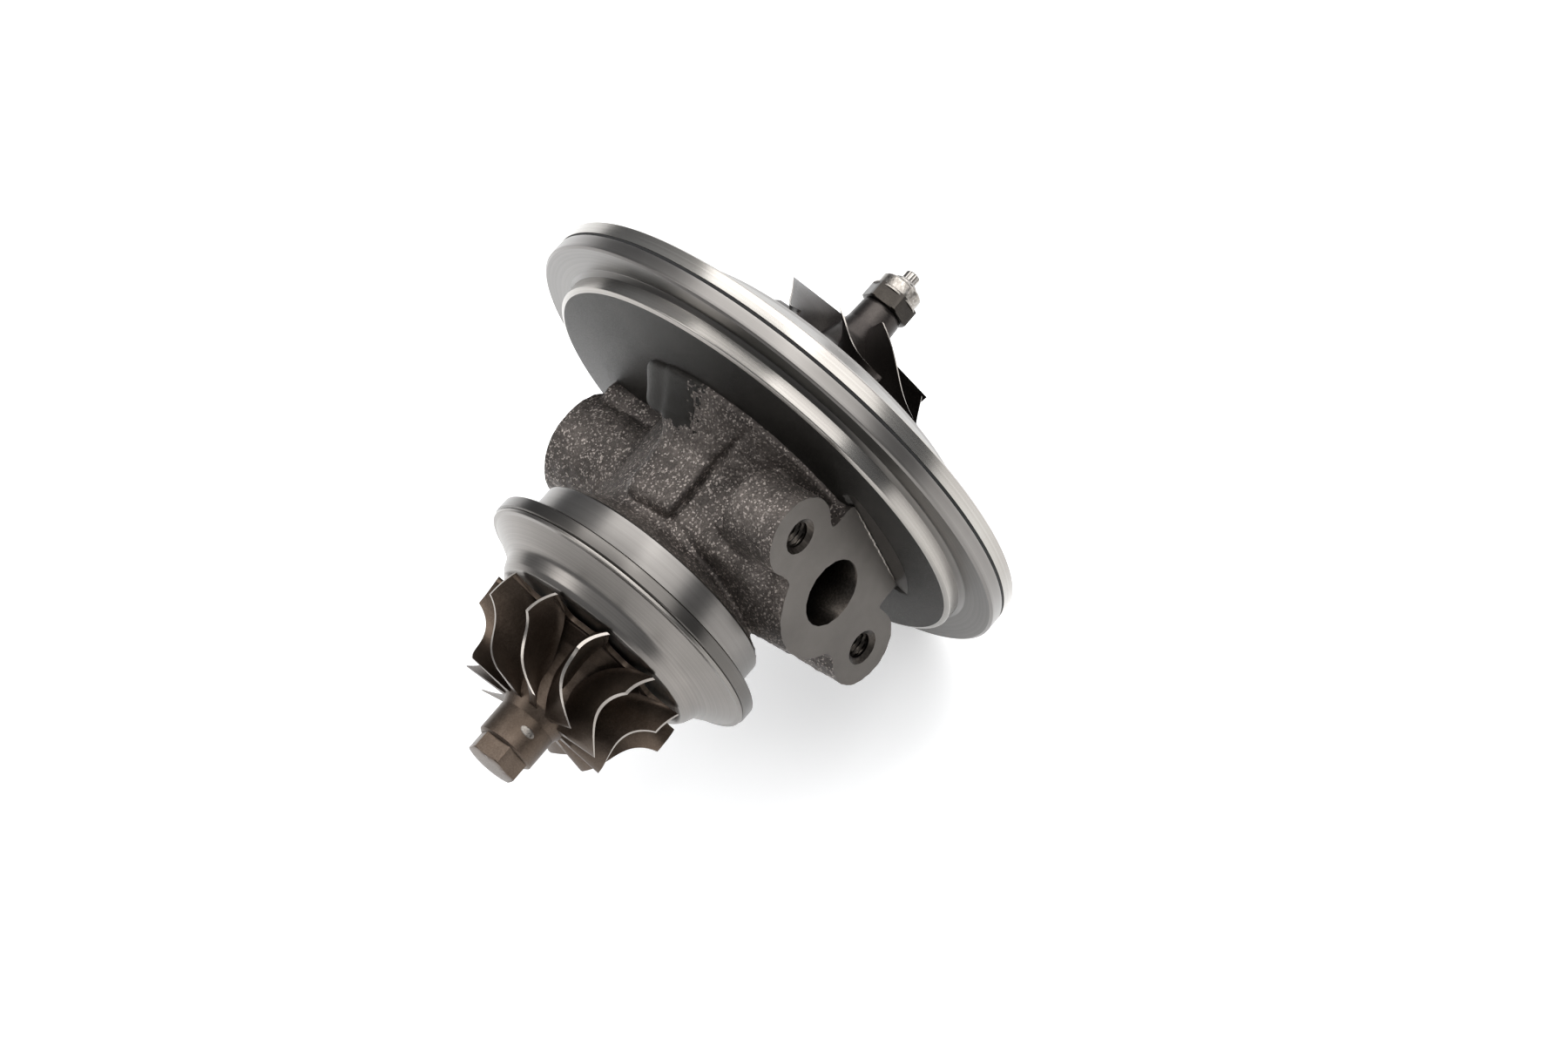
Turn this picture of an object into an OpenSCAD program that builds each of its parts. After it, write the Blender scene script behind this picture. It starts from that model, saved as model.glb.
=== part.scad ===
// Turbocharger cartridge: the rotating core in its bearing housing, without the two scroll casings.
// Millimetres. The shaft lies along X, with the turbine towards -X and the compressor towards +X.
// The origin is on the shaft axis, in the middle of the width of the cover disc's rim.
// The oil drain faces -Y and the oil inlet faces +Y.

/* [Cover disc] */
// Radius of the rim that the compressor casing slides over
rim_r = 52.5; // [50:0.5:56]
// Width of the rim
rim_w = 6.5; // [6:0.1:8]
// Width of the O-ring groove in the rim
rim_groove_w = 1.1; // [0.8:0.1:1.6]
// Radius of the machined step behind the rim
step_r = 45.4; // [43:0.2:47]
// Plane where the machined step ends and the cast dish begins
step_x = -7; // [-8:0.1:-5]
// Radius of the flat face under the compressor wheel
face_r = 34.5; // [30:0.5:38]
// Plane of that flat face
face_x = 10; // [8:0.1:12]

/* [Bearing housing] */
// Radius of the bearing barrel
barrel_r = 17.5; // [16:0.1:19]
// Radius of the bell where it meets the disc
bell_r = 32.2; // [30:0.2:34]
// Plane where the bell is cut flat beside the oil inlet
bell_flat_y = 13; // [12:0.5:16]
// Radius of the machined band behind the turbine flange
band_r = 24.5; // [23:0.1:26]
// Radius of the turbine flange
flange_r = 29.2; // [28:0.1:31]
// Plane of the turbine flange's front face
flange_x = -45.2; // [-46:0.1:-44]
// Thickness of the turbine flange
flange_t = 2.7; // [2:0.1:4]
// Width of the machined band
band_w = 6.8; // [5:0.1:8]

/* [Oil ports] */
// Plane through both oil ports, across the shaft
port_x = -20.75; // [-22:0.05:-19]
// Distance from the shaft axis to the drain flange's face
drain_y = 31.9; // [30:0.1:34]
// Radius of the drain port
drain_r = 6.4; // [5:0.1:7]
// Distance from one drain bolt hole to the other
bolt_spacing = 38; // [36:0.5:40]
// Core radius of the M6 thread in the drain flange
bolt_r = 2.5; // [2.4:0.05:2.6]
// Depth of the drain bolt holes
bolt_depth = 14; // [10:0.5:15]
// Distance from the shaft axis to the oil inlet's face
inlet_y = 31; // [28:0.1:33]
// Outer radius of the oil inlet boss
inlet_boss_r = 10.8; // [10:0.1:12]
// Core radius of the M12 x 1.5 thread in the oil inlet
inlet_r = 5.25; // [5.2:0.05:5.3]

/* [Bearings] */
// Radius of the shaft's journals
journal_r = 3.5; // [3.4:0.05:3.6]
// Length of each floating bush
bush_len = 7; // [6:0.1:8]
// Middle of the turbine-side bush
turbine_bush_x = -32; // [-33:0.1:-31]
// Middle of the compressor-side bush
compressor_bush_x = -14; // [-15:0.1:-13.5]
// Radius of the bore that both bushes float in
bush_bore_r = 5.5; // [5.4:0.05:5.6]
// Radial clearance inside and outside each bush
oil_film = 0.04; // [0.02:0.01:0.06]

/* [Turbine wheel] */
// Radius over the blade tips
turbine_r = 21.2; // [20:0.1:22]
// Number of turbine blades
turbine_blades = 11; // [9:1:12]
// Back of the turbine wheel
turbine_back_x = -53.6; // [-54:0.1:-53.4]
// Plane where the blade tips end and the shroud edge begins
turbine_tip_x = -59.2; // [-60:0.1:-58]
// Angle of the first turbine blade about the shaft, from +Y
turbine_blade_angle = 55.1; // [0:0.1:360]
// End of the hexagonal nose
nose_x = -81.4; // [-83:0.1:-80]
// Radius of the round part of the nose
nose_r = 5.8; // [5.5:0.1:6.2]
// Corner radius of the hexagonal nose
hex_nose_r = 5.5; // [5:0.1:5.8]
// Angle of the hexagonal nose about the shaft
hex_nose_angle = 12; // [0:1:60]

/* [Compressor wheel] */
// Radius of the wheel at its outlet
exducer_r = 24.5; // [23:0.1:26]
// Radius over the blade tips at the inlet
inducer_r = 16.5; // [16:0.1:18]
// Plane of the inlet edges
inducer_x = 24.2; // [23.5:0.1:25]
// Number of full blades, with a splitter blade between each two
compressor_blades = 4; // [4:1:7]
// Where a splitter blade starts, as a part of a full blade's length
splitter_start = 0.2; // [0.15:0.01:0.45]
// Angle of the first full blade about the shaft, from +Y
compressor_blade_angle = 40.3; // [0:0.1:360]
// Back of the compressor wheel
wheel_back_x = 10.5; // [10.4:0.1:11]
// Front end of the wheel's hub
wheel_nose_x = 30.7; // [30:0.1:32]
// Radius of the hub's front end
wheel_nose_r = 4.2; // [4:0.1:4.6]

/* [Lock nut] */
// Width across the nut's flats
nut_af = 9; // [8.5:0.1:9.5]
// Length of the hexagon
nut_hex_len = 3.6; // [3:0.1:4]
// Length of the round collar in front of the hexagon
nut_collar_len = 2.7; // [2:0.1:3]
// End of the splined stub
stub_end_x = 40; // [39:0.1:41]

/* [Hidden] */
$fn = 96;
// A little extra length, so that a cut passes right through a face
eps = 0.5;

// Planes along the shaft, from the turbine to the compressor
flange_back_x = flange_x + flange_t;
band_end_x = flange_back_x + band_w;
seal_bore_r = 8;
seal_bore_start_x = -50.2;
seal_bore_end_x = -42;
slinger_end_x = -37;
shaft_weld_x = -49.5;
seal_boss_end_x = -42.6;
turbine_ring_x = -46.55;
turbine_ring_w = 1.5;
ring_side_gap = 0.05;
snap_w = 0.6;
snap_r = 5.95;
snap_gap = 0.05;
bush_half = bush_len / 2;
chamber_start_x = -26.5;
chamber_end_x = -19.5;
shoulder_x = -8;
thrust_back_x = -5.95;
thrust_front_x = -2.45;
collar_start_x = -6;
collar_flange_x = -2.4;
sleeve_start_x = -0.4;
sleeve_end_x = wheel_back_x - 0.1;
seal_plate_x = 1;
circlip_x = 8;
circlip_w = 1.2;
stub_r = 2.5;
spline_r = 1.5;
nut_start_x = wheel_nose_x;
nut_collar_x = nut_start_x + nut_hex_len;
nut_end_x = nut_collar_x + nut_collar_len;

// Radii inside the housing
seal_plate_bore_r = 21;
thrust_bore_r = 18.5;
thrust_pocket_r = 9;
collector_y = -13.5;
collector_r = 6.5;
gallery_y = 11.5;
gallery_r = 1.5;
dowel_r = 1.5;
dowel_ring_r = 14.5;
dowel_angles = [60, 120];

// Heat shield, a pressed sheet
shield_t = 0.8;
shield_brim_r = 28.9;
shield_hole_r = 9.5;
shield_crown_x = -53;

// ---------- Shared shapes ----------

// A solid turned about the shaft axis, from a list of [x, radius] points
module turned(profile) {
    rotate([0, 90, 0])
        rotate_extrude()
            polygon([for (p = profile) [p[1], p[0]]]);
}

// A round bar along the shaft axis from x0 to x1
module bar(x0, x1, r) {
    translate([x0, 0, 0])
        rotate([0, 90, 0])
            cylinder(h = x1 - x0, r = r);
}

// A ring along the shaft axis
module ring(x0, x1, r_out, r_in) {
    difference() {
        bar(x0, x1, r_out);
        bar(x0 - eps, x1 + eps, r_in);
    }
}

// A piston ring or snap ring with a gap between its ends
module split_ring(x0, x1, r_out, r_in, gap) {
    difference() {
        ring(x0, x1, r_out, r_in);
        translate([x0 - eps, 0, -gap / 2])
            cube([x1 - x0 + 2 * eps, r_out + eps, gap]);
    }
}

// An O-ring lying in a groove about the shaft axis
module o_ring(x, r, cord_r) {
    translate([x, 0, 0])
        rotate([0, 90, 0])
            rotate_extrude()
                translate([r, 0])
                    circle(r = cord_r, $fn = 32);
}

// A round bar across the shaft, from y0 to y1
module cross_bar(x, y0, y1, z, r) {
    translate([x, y1, z])
        rotate([90, 0, 0])
            cylinder(h = y1 - y0, r = r);
}

// A cubic curve through the plane, from p[0] to p[3], and its value at t from 0 to 1
function curve(p, t) = pow(1 - t, 3) * p[0] + 3 * t * pow(1 - t, 2) * p[1]
    + 3 * t * t * (1 - t) * p[2] + pow(t, 3) * p[3];

// A point of a blade: t runs from inlet to outlet, s from hub to shroud
function blade_xr(hub, shroud, t, s) = (1 - s) * curve(hub, t) + s * curve(shroud, t);
function around(xr, angle) = [xr[0], xr[1] * cos(angle), xr[1] * sin(angle)];
function blade_point(hub, shroud, wrap, t, s, half) =
    let (xr = blade_xr(hub, shroud, t, s))
    around(xr, wrap(xr[0], t) + half * 180 / (PI * xr[1]));

// One blade, a closed skin over a grid of points on both of its sides.
// wrap is a function of x and t that gives the angle about the shaft.
module blade(hub, shroud, wrap, root_t, tip_t, t_start, chords, spans) {
    rows = spans + 1;
    side = (chords + 1) * rows;
    points = [for (sign = [1, -1]) for (i = [0 : chords]) for (j = [0 : spans])
        let (t = t_start + (1 - t_start) * i / chords, s = j / spans)
        blade_point(hub, shroud, wrap, t, s, sign * (root_t + (tip_t - root_t) * s) / 2)];
    function at(k, i, j) = k * side + i * rows + j;
    faces = concat(
        [for (i = [0 : chords - 1]) for (j = [0 : spans - 1]) each [
            [at(0, i, j), at(0, i + 1, j), at(0, i + 1, j + 1)],
            [at(0, i, j), at(0, i + 1, j + 1), at(0, i, j + 1)],
            [at(1, i, j), at(1, i + 1, j + 1), at(1, i + 1, j)],
            [at(1, i, j), at(1, i, j + 1), at(1, i + 1, j + 1)]]],
        [for (i = [0 : chords - 1]) each [
            [at(0, i, 0), at(1, i, 0), at(1, i + 1, 0)],
            [at(0, i, 0), at(1, i + 1, 0), at(0, i + 1, 0)],
            [at(0, i, spans), at(1, i + 1, spans), at(1, i, spans)],
            [at(0, i, spans), at(0, i + 1, spans), at(1, i + 1, spans)]]],
        [for (j = [0 : spans - 1]) each [
            [at(0, 0, j), at(0, 0, j + 1), at(1, 0, j + 1)],
            [at(0, 0, j), at(1, 0, j + 1), at(1, 0, j)],
            [at(0, chords, j), at(1, chords, j + 1), at(0, chords, j + 1)],
            [at(0, chords, j), at(1, chords, j), at(1, chords, j + 1)]]]);
    polyhedron(points = points, faces = faces, convexity = 4);
}

// ---------- Bearing housing ----------

// The disc with its rim, machined step, cast dish and raised compressor face
module housing_disc() {
    w = rim_w / 2;
    turned([[-w, 0], [-w - 9.5, 0], [-w - 9.5, 16], [step_x - 2.9, 32], [step_x, step_r - 1],
        [step_x + 0.3, step_r], [-w - 0.8, step_r + 0.2], [-w, step_r + 1], [-w, rim_r - 0.4],
        [-w + 0.4, rim_r], [w - 0.4, rim_r], [w, rim_r - 0.4], [w, rim_r - 4], [w + 1, rim_r - 5],
        [face_x - 1, face_r + 1.5], [face_x, face_r], [face_x, 0]]);
}

// The bell that widens from the barrel to the disc, cut flat beside the oil inlet
module housing_bell() {
    difference() {
        turned([[-29, 0], [-29, 16], [-20, 25.2], [-13, 30.8], [-10.5, bell_r], [-9.4, bell_r], [-9.4, 0]]);
        translate([-40, bell_flat_y, -40])
            cube([40, 30, 80]);
    }
}

// The neck, machined band, turbine flange and seal boss at the turbine end
module housing_turbine_end() {
    turned([[-26, 0], [-26, barrel_r], [-31, barrel_r + 0.4], [-32.5, barrel_r + 2], [-34.5, barrel_r + 5.2],
        [band_end_x, band_r - 0.6], [band_end_x, band_r], [flange_back_x, band_r],
        [flange_back_x, flange_r - 0.3], [flange_back_x - 0.3, flange_r], [flange_x + 0.3, flange_r],
        [flange_x, flange_r - 0.3], [flange_x, band_r - 1], [flange_x + 2, band_r - 1],
        [flange_x + 2, 14], [seal_bore_start_x + 1, 12.5], [seal_bore_start_x, 11.5],
        [seal_bore_start_x, 0]]);
}

// The outline of the drain flange about its port, x along the shaft and y across it
module drain_outline() {
    half = bolt_spacing / 2;
    difference() {
        union() {
            for (side = [-1, 1])
                translate([0, side * half])
                    circle(r = 7.7);
            circle(r = 13.3);
            translate([-7, -half])
                square([14, bolt_spacing]);
            translate([0, -13.8])
                square([12.2, 26.3]);
        }
        translate([12.2, -half])
            square([8, bolt_spacing]);
    }
}

// The drain duct and its flange, cast in one with the barrel
module housing_drain() {
    translate([port_x, 0, 0])
        rotate([90, 0, 0])
            translate([0, 0, 19])
                linear_extrude(height = drain_y - 19)
                    drain_outline();
    translate([0, collector_y, 0])
        bar(-37, -9, 11.5);
    cross_bar(port_x, -drain_y + 2, 0, 0, 12);
    for (side = [-1, 1])
        cross_bar(port_x, -drain_y + 2, -4, side * (bolt_spacing / 2 - 2), 5.7);
}

// The oil inlet boss, with the two ribs that tie it to the disc
module housing_inlet() {
    cross_bar(port_x, 0, inlet_y, 0, inlet_boss_r);
    cross_bar(-11.5, 8, 27, 3.5, 6);
    cross_bar(-11.5, 8, 27, -5, 5);
    translate([-14, 0, -6])
        cube([6, 25, 12]);
}

// Bores and chambers turned about the shaft axis
module housing_bores() {
    bar(seal_bore_start_x - eps, seal_bore_end_x, seal_bore_r);
    bar(seal_bore_end_x - 0.5, slinger_end_x, 10);
    bar(slinger_end_x - eps, shoulder_x + eps, bush_bore_r);
    bar(chamber_start_x, chamber_end_x, 8);
    for (x = [turbine_bush_x, compressor_bush_x]) {
        bar(x - bush_half - snap_gap - snap_w, x - bush_half - snap_gap, snap_r);
        bar(x + bush_half + snap_gap, x + bush_half + snap_gap + snap_w, snap_r);
    }
    bar(-9, thrust_back_x + eps, thrust_pocket_r);
    bar(thrust_back_x, seal_plate_x + eps, thrust_bore_r);
    bar(seal_plate_x, face_x + eps, seal_plate_bore_r);
    bar(circlip_x, circlip_x + circlip_w, seal_plate_bore_r + 1.2);
    turned([[face_x - 0.6, 0], [face_x + 0.1, 0], [face_x + 0.1, seal_plate_bore_r + 0.7],
        [face_x - 0.6, seal_plate_bore_r]]);
}

// The way that the oil takes, from the inlet through the bushes to the drain
module housing_oil_ways() {
    cross_bar(port_x, inlet_y - 14, inlet_y + eps, 0, inlet_r);
    cross_bar(port_x, inlet_y - 0.8, inlet_y + eps, 0, inlet_r + 0.9);
    cross_bar(port_x, gallery_y, inlet_y - 13, 0, 2);
    translate([0, gallery_y, 0])
        bar(turbine_bush_x - 1, thrust_back_x + eps, gallery_r);
    for (x = [turbine_bush_x, compressor_bush_x])
        cross_bar(x, 4, gallery_y, 0, 1.2);
    translate([0, collector_y, 0])
        bar(-41, -4, collector_r);
    cross_bar(port_x, -drain_y - eps, collector_y, 0, drain_r);
}

// Threaded holes for the drain pipe, each with a chamfer at its mouth
module drain_bolt_holes() {
    for (side = [-1, 1])
        translate([port_x, 0, side * bolt_spacing / 2])
            rotate([90, 0, 0]) {
                translate([0, 0, drain_y - bolt_depth])
                    cylinder(h = bolt_depth + eps, r = bolt_r);
                translate([0, 0, drain_y - 1])
                    cylinder(h = 1, r1 = bolt_r, r2 = 3.5);
            }
}

module dowel_places() {
    for (angle = dowel_angles)
        rotate([angle, 0, 0])
            translate([0, dowel_ring_r, 0])
                children();
}

module bearing_housing() {
    color("#4c4844")
        difference() {
            union() {
                housing_disc();
                housing_turbine_end();
                housing_bell();
                bar(-38, -8, barrel_r);
                housing_drain();
                housing_inlet();
            }
            housing_bores();
            housing_oil_ways();
            drain_bolt_holes();
            dowel_places()
                bar(-8.5, thrust_back_x + eps, dowel_r);
            ring(-rim_groove_w / 2, rim_groove_w / 2, rim_r + eps, rim_r - 1.15);
        }
}

// ---------- Seals and shields ----------

module rim_o_ring() {
    color("#141414")
        o_ring(0, rim_r - 1.15 + rim_groove_w / 2, rim_groove_w / 2);
}

// The pressed sheet behind the turbine wheel: brim, cone, cup wall and flat crown
module heat_shield() {
    t = shield_t;
    color("#7d7b78")
        turned([[flange_x, shield_brim_r], [flange_x - t, shield_brim_r], [flange_x - t, 28.2],
            [-49.4, 22.4], [-51.8, 21.4], [-52.7, 20.8], [shield_crown_x, 19.6],
            [shield_crown_x, shield_hole_r], [shield_crown_x + t, shield_hole_r],
            [shield_crown_x + t, 19.4], [-52.1, 19.9], [-51.4, 20.5], [-48.9, 21.6],
            [flange_x - 0.05, 27.6], [flange_x, 27.9]]);
}

module turbine_seal_ring() {
    color("#8a8784")
        split_ring(turbine_ring_x, turbine_ring_x + turbine_ring_w, seal_bore_r, 6.5, 0.4);
}

module compressor_seal_rings() {
    color("#8a8784")
        for (x = seal_ring_planes)
            split_ring(x, x + 1, 6.5, 5.3, 0.3);
}
seal_ring_planes = [4.6, 7.2];

// The insert that closes the compressor side of the housing
module seal_plate() {
    color("#8e8c88")
        difference() {
            turned([[seal_plate_x, 10.5], [seal_plate_x, seal_plate_bore_r - 0.3],
                [seal_plate_x + 0.3, seal_plate_bore_r], [3.4, seal_plate_bore_r], [3.4, 19.1],
                [5.6, 19.1], [5.6, seal_plate_bore_r], [circlip_x, seal_plate_bore_r],
                [circlip_x, 18.6], [9.6, 18.2], [9.8, 17.8], [9.8, 6.5], [3.2, 6.5], [3.2, 10.5]]);
            for (side = [-1, 1])
                translate([7, 0, side * 13])
                    rotate([0, 90, 0])
                        cylinder(h = 4, r = 1.5);
        }
}

module seal_plate_o_ring() {
    color("#141414")
        o_ring(4.5, 20.05, 0.95);
}

// The circlip that holds the seal plate in, open at one side with an eye at each end
module seal_plate_circlip() {
    eye_r = 1.3;
    eye_ring_r = 20;
    eye_angles = [78, 102];
    color("#3a3937")
        difference() {
            union() {
                ring(circlip_x, circlip_x + circlip_w, seal_plate_bore_r + 1.2, seal_plate_bore_r - 1.4);
                for (angle = eye_angles)
                    rotate([angle, 0, 0])
                        translate([0, eye_ring_r, 0])
                            bar(circlip_x, circlip_x + circlip_w, eye_r);
            }
            translate([circlip_x - eps, -2.2, 17])
                cube([circlip_w + 2 * eps, 4.4, 7]);
            for (angle = eye_angles)
                rotate([angle, 0, 0])
                    translate([0, eye_ring_r, 0])
                        bar(circlip_x - eps, circlip_x + circlip_w + eps, 0.6);
        }
}

// A thin disc that keeps oil off the seal, with a tongue bent down towards the drain
module oil_deflector() {
    color("#9b9890") {
        difference() {
            ring(seal_plate_x - 0.6, seal_plate_x, 18.3, 10.2);
            translate([0, -14, -4])
                cube([2, 8, 8]);
        }
        translate([-1.6, -14.4, -4])
            cube([seal_plate_x + 1.6, 0.6, 8]);
    }
}

// ---------- Bearings ----------

// A full-floating bush with six oil holes between its two lands
module floating_bush(x) {
    color("#b08d4a")
        difference() {
            turned([[x - bush_half, journal_r + oil_film], [x - bush_half, bush_bore_r - oil_film - 0.3],
                [x - bush_half + 0.3, bush_bore_r - oil_film], [x + bush_half - 0.3, bush_bore_r - oil_film],
                [x + bush_half, bush_bore_r - oil_film - 0.3], [x + bush_half, journal_r + oil_film]]);
            for (k = [0 : 5])
                rotate([60 * k, 0, 0])
                    cross_bar(x, 2, 7, 0, 0.8);
        }
}
module turbine_bush() { floating_bush(turbine_bush_x); }
module compressor_bush() { floating_bush(compressor_bush_x); }

// Two snap rings beside each bush
module bush_snap_rings() {
    color("#565350")
        for (x = [turbine_bush_x, compressor_bush_x]) {
            split_ring(x - bush_half - snap_gap - snap_w, x - bush_half - snap_gap, snap_r, 4.5, 1);
            split_ring(x + bush_half + snap_gap, x + bush_half + snap_gap + snap_w, snap_r, 4.5, 1);
        }
}

// The thrust plate, cut away below so that oil falls to the drain, with grooves in both faces
module thrust_bearing() {
    groove = 0.3;
    color("#b8954f")
        difference() {
            bar(thrust_back_x, thrust_front_x, thrust_bore_r - 0.1);
            bar(thrust_back_x - eps, thrust_front_x + eps, 4.75);
            translate([thrust_back_x - eps, -20, -9])
                cube([6, 10.5, 18]);
            dowel_places()
                bar(thrust_back_x - eps, thrust_front_x + eps, dowel_r);
            for (angle = [30, 150, 210, 330])
                rotate([angle, 0, 0]) {
                    translate([thrust_front_x - groove, 4, -0.6])
                        cube([1, 4, 1.2]);
                    translate([thrust_back_x - 1 + groove, 4, -0.6])
                        cube([1, 4, 1.2]);
                }
            translate([0, gallery_y, 0])
                bar(thrust_back_x - eps, thrust_back_x + 1.8, 1);
            cross_bar((thrust_back_x + thrust_front_x) / 2, 4, gallery_y, 0, 0.7);
        }
}

module thrust_bearing_dowels() {
    color("#77746f")
        dowel_places()
            bar(-8.5, thrust_front_x + 0.4, dowel_r);
}

// ---------- Rotor ----------

// The stepped shaft, welded to the turbine wheel, with a splined stub at its far end
module rotor_shaft() {
    groove_x = turbine_ring_x - ring_side_gap;
    groove_end_x = turbine_ring_x + turbine_ring_w + ring_side_gap;
    color("#8d8a86")
        difference() {
            turned([[shaft_weld_x, 0], [shaft_weld_x, seal_bore_r - 0.1], [groove_x, seal_bore_r - 0.1],
                [groove_x, 6.2], [groove_end_x, 6.2], [groove_end_x, seal_bore_r - 0.1],
                [seal_boss_end_x, seal_bore_r - 0.1], [seal_boss_end_x + 0.4, 6.4], [-39.5, 6],
                [-37.5, journal_r + 0.4], [-36.4, journal_r], [-27.5, journal_r], [-26.8, journal_r - 0.4],
                [-19.2, journal_r - 0.4], [-18.5, journal_r], [shoulder_x, journal_r], [shoulder_x, stub_r],
                [nut_start_x, stub_r], [nut_end_x + 0.6, stub_r], [nut_end_x + 1, stub_r - 0.4],
                [nut_end_x + 1, spline_r], [stub_end_x - 0.3, spline_r], [stub_end_x, spline_r - 0.3],
                [stub_end_x, 0]]);
            for (k = [0 : 7])
                rotate([45 * k, 0, 0])
                    translate([nut_end_x + 1, spline_r + 0.1, 0])
                        rotate([0, 90, 0])
                            cylinder(h = 3, r = 0.35);
        }
}

module thrust_washer() {
    color("#a19e99")
        ring(shoulder_x, collar_start_x, 7.5, stub_r);
}

// The collar that runs through the thrust bearing and against its front face
module thrust_collar() {
    color("#a19e99")
        difference() {
            turned([[collar_start_x, 0], [collar_start_x, 4.7], [collar_flange_x, 4.7],
                [collar_flange_x, 7.5], [sleeve_start_x, 7.5], [sleeve_start_x, 0]]);
            bar(collar_start_x - eps, sleeve_start_x + eps, stub_r);
        }
}

// The sleeve that carries the two compressor seal rings, and throws oil off its lip
module flinger_sleeve() {
    land = 6.42;
    floor_r = 5;
    color("#a19e99")
        difference() {
            turned([[sleeve_start_x, 0], [sleeve_start_x, 5.2], [0.4, 5.6], [0.6, 9.5], [2.2, 9.8],
                [2.6, 6.4], [3.4, land], [sleeve_end_x - 0.4, land], [sleeve_end_x, land - 0.4],
                [sleeve_end_x, 0]]);
            bar(sleeve_start_x - eps, sleeve_end_x + eps, stub_r);
            for (x = seal_ring_planes)
                ring(x - ring_side_gap, x + 1 + ring_side_gap, land + 1, floor_r);
        }
}

// Turbine blades: inlet edge along the tips, then a shroud edge that falls to the outlet at the nose.
// Their fibres are radial, and their angle depends on x alone.
turbine_hub_curve = [[-53.6, turbine_r], [-54.3, 12.5], [-58.5, 7.2], [-69.3, 5.6]];
turbine_shroud_curve = [[turbine_tip_x, turbine_r], [-60.6, 17], [-64, 15.4], [-69.5, 15.6]];
function turbine_wrap(x) =
    let (u = turbine_tip_x - x)
    turbine_blade_angle + (u > 0 ? 0.0266 * pow(u, 3) : 0.206 * u * u);

module turbine_wheel() {
    color("#4b423b")
        union() {
            turned([[shaft_weld_x, 0], [shaft_weld_x, seal_bore_r - 0.1], [turbine_back_x + 0.6, seal_bore_r - 0.1],
                [turbine_back_x, 8.6], [turbine_back_x, 13.6], [turbine_back_x - 1, 14],
                [turbine_back_x - 2, 12], [turbine_back_x - 3.4, 10], [turbine_back_x - 5.6, 8.5],
                [turbine_back_x - 9.5, 7.4], [-69.4, 6.6], [-70.6, nose_r], [-77.2, nose_r],
                [-77.6, nose_r - 0.6], [-77.6, 0]]);
            translate([nose_x, 0, 0])
                rotate([0, 90, 0])
                    rotate([0, 0, hex_nose_angle])
                        cylinder(h = -77 - nose_x, r = hex_nose_r, $fn = 6);
            for (k = [0 : turbine_blades - 1])
                rotate([360 / turbine_blades * k, 0, 0])
                    blade(turbine_hub_curve, turbine_shroud_curve, function(x, t) turbine_wrap(x),
                        1.7, 0.8, 0, 6, 3);
        }
}

// Compressor blades: inlet edge in one plane across the shaft, outlet edge along the wheel's rim
compressor_hub_curve = [[25.2, 3.6], [19, 5], [12.4, 9.5], [11.3, exducer_r - 0.2]];
compressor_shroud_curve = [[inducer_x, inducer_r], [19.5, inducer_r + 0.1], [15.4, 18.6], [14.2, exducer_r]];
compressor_wrap = [0, 36, 35.5, 58];

module compressor_blade(t_start, chords) {
    blade(compressor_hub_curve, compressor_shroud_curve,
        function(x, t) compressor_blade_angle + curve(compressor_wrap, t), 0.9, 0.45, t_start, chords, 3);
}

module compressor_wheel() {
    pitch = 360 / compressor_blades;
    color("#3b3835")
        difference() {
            union() {
                turned([[wheel_back_x, 0], [wheel_back_x, exducer_r], [wheel_back_x + 0.9, exducer_r],
                    [wheel_back_x + 1.3, 20], [wheel_back_x + 2.4, 15.5], [wheel_back_x + 4.6, 11.2],
                    [wheel_back_x + 8, 7.8], [wheel_back_x + 12, 5.6], [26, wheel_nose_r + 0.1],
                    [wheel_nose_x, wheel_nose_r], [wheel_nose_x, 0]]);
                for (k = [0 : compressor_blades - 1])
                    rotate([pitch * k, 0, 0]) {
                        compressor_blade(0, 6);
                        rotate([pitch / 2, 0, 0])
                            compressor_blade(splitter_start, 4);
                    }
            }
            bar(wheel_back_x - eps, wheel_nose_x + eps, stub_r);
        }
}

module lock_nut() {
    color("#5a5651")
        difference() {
            union() {
                intersection() {
                    translate([nut_start_x, 0, 0])
                        rotate([0, 90, 0])
                            cylinder(h = nut_hex_len, r = nut_af / sqrt(3), $fn = 6);
                    turned([[nut_start_x, 0], [nut_start_x, nut_af / 2 + 0.1], [nut_start_x + 0.5, 5.3],
                        [nut_collar_x - 0.5, 5.3], [nut_collar_x, nut_af / 2 + 0.1], [nut_collar_x, 0]]);
                }
                turned([[nut_collar_x - 0.1, 0], [nut_collar_x - 0.1, 4.25], [nut_end_x - 0.3, 4.25],
                    [nut_end_x, 3.95], [nut_end_x, 0]]);
            }
            bar(nut_start_x - eps, nut_end_x + eps, stub_r);
        }
}

bearing_housing();
rim_o_ring();
heat_shield();
turbine_seal_ring();
bush_snap_rings();
turbine_bush();
compressor_bush();
thrust_bearing();
thrust_bearing_dowels();
oil_deflector();
seal_plate();
seal_plate_o_ring();
seal_plate_circlip();
compressor_seal_rings();
turbine_wheel();
rotor_shaft();
thrust_washer();
thrust_collar();
flinger_sleeve();
compressor_wheel();
lock_nut();
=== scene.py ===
"""Looks of the turbocharger cartridge: cast bearing housing with turned seats, both wheels, nut and seals.

Lengths in the helpers are millimetres in the row frame: +X runs from the turbine to the compressor,
-Y out of the oil drain and +Y out of the oil inlet. An angle about the shaft is 0 at +Y and grows
towards +Z. Meshes are scaled to metres when they are made.
"""

from math import ceil, cos, hypot, pi, radians, sin, sqrt, tan

import bmesh
import bpy
import numpy as np
from mathutils import Matrix, Vector, geometry


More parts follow.
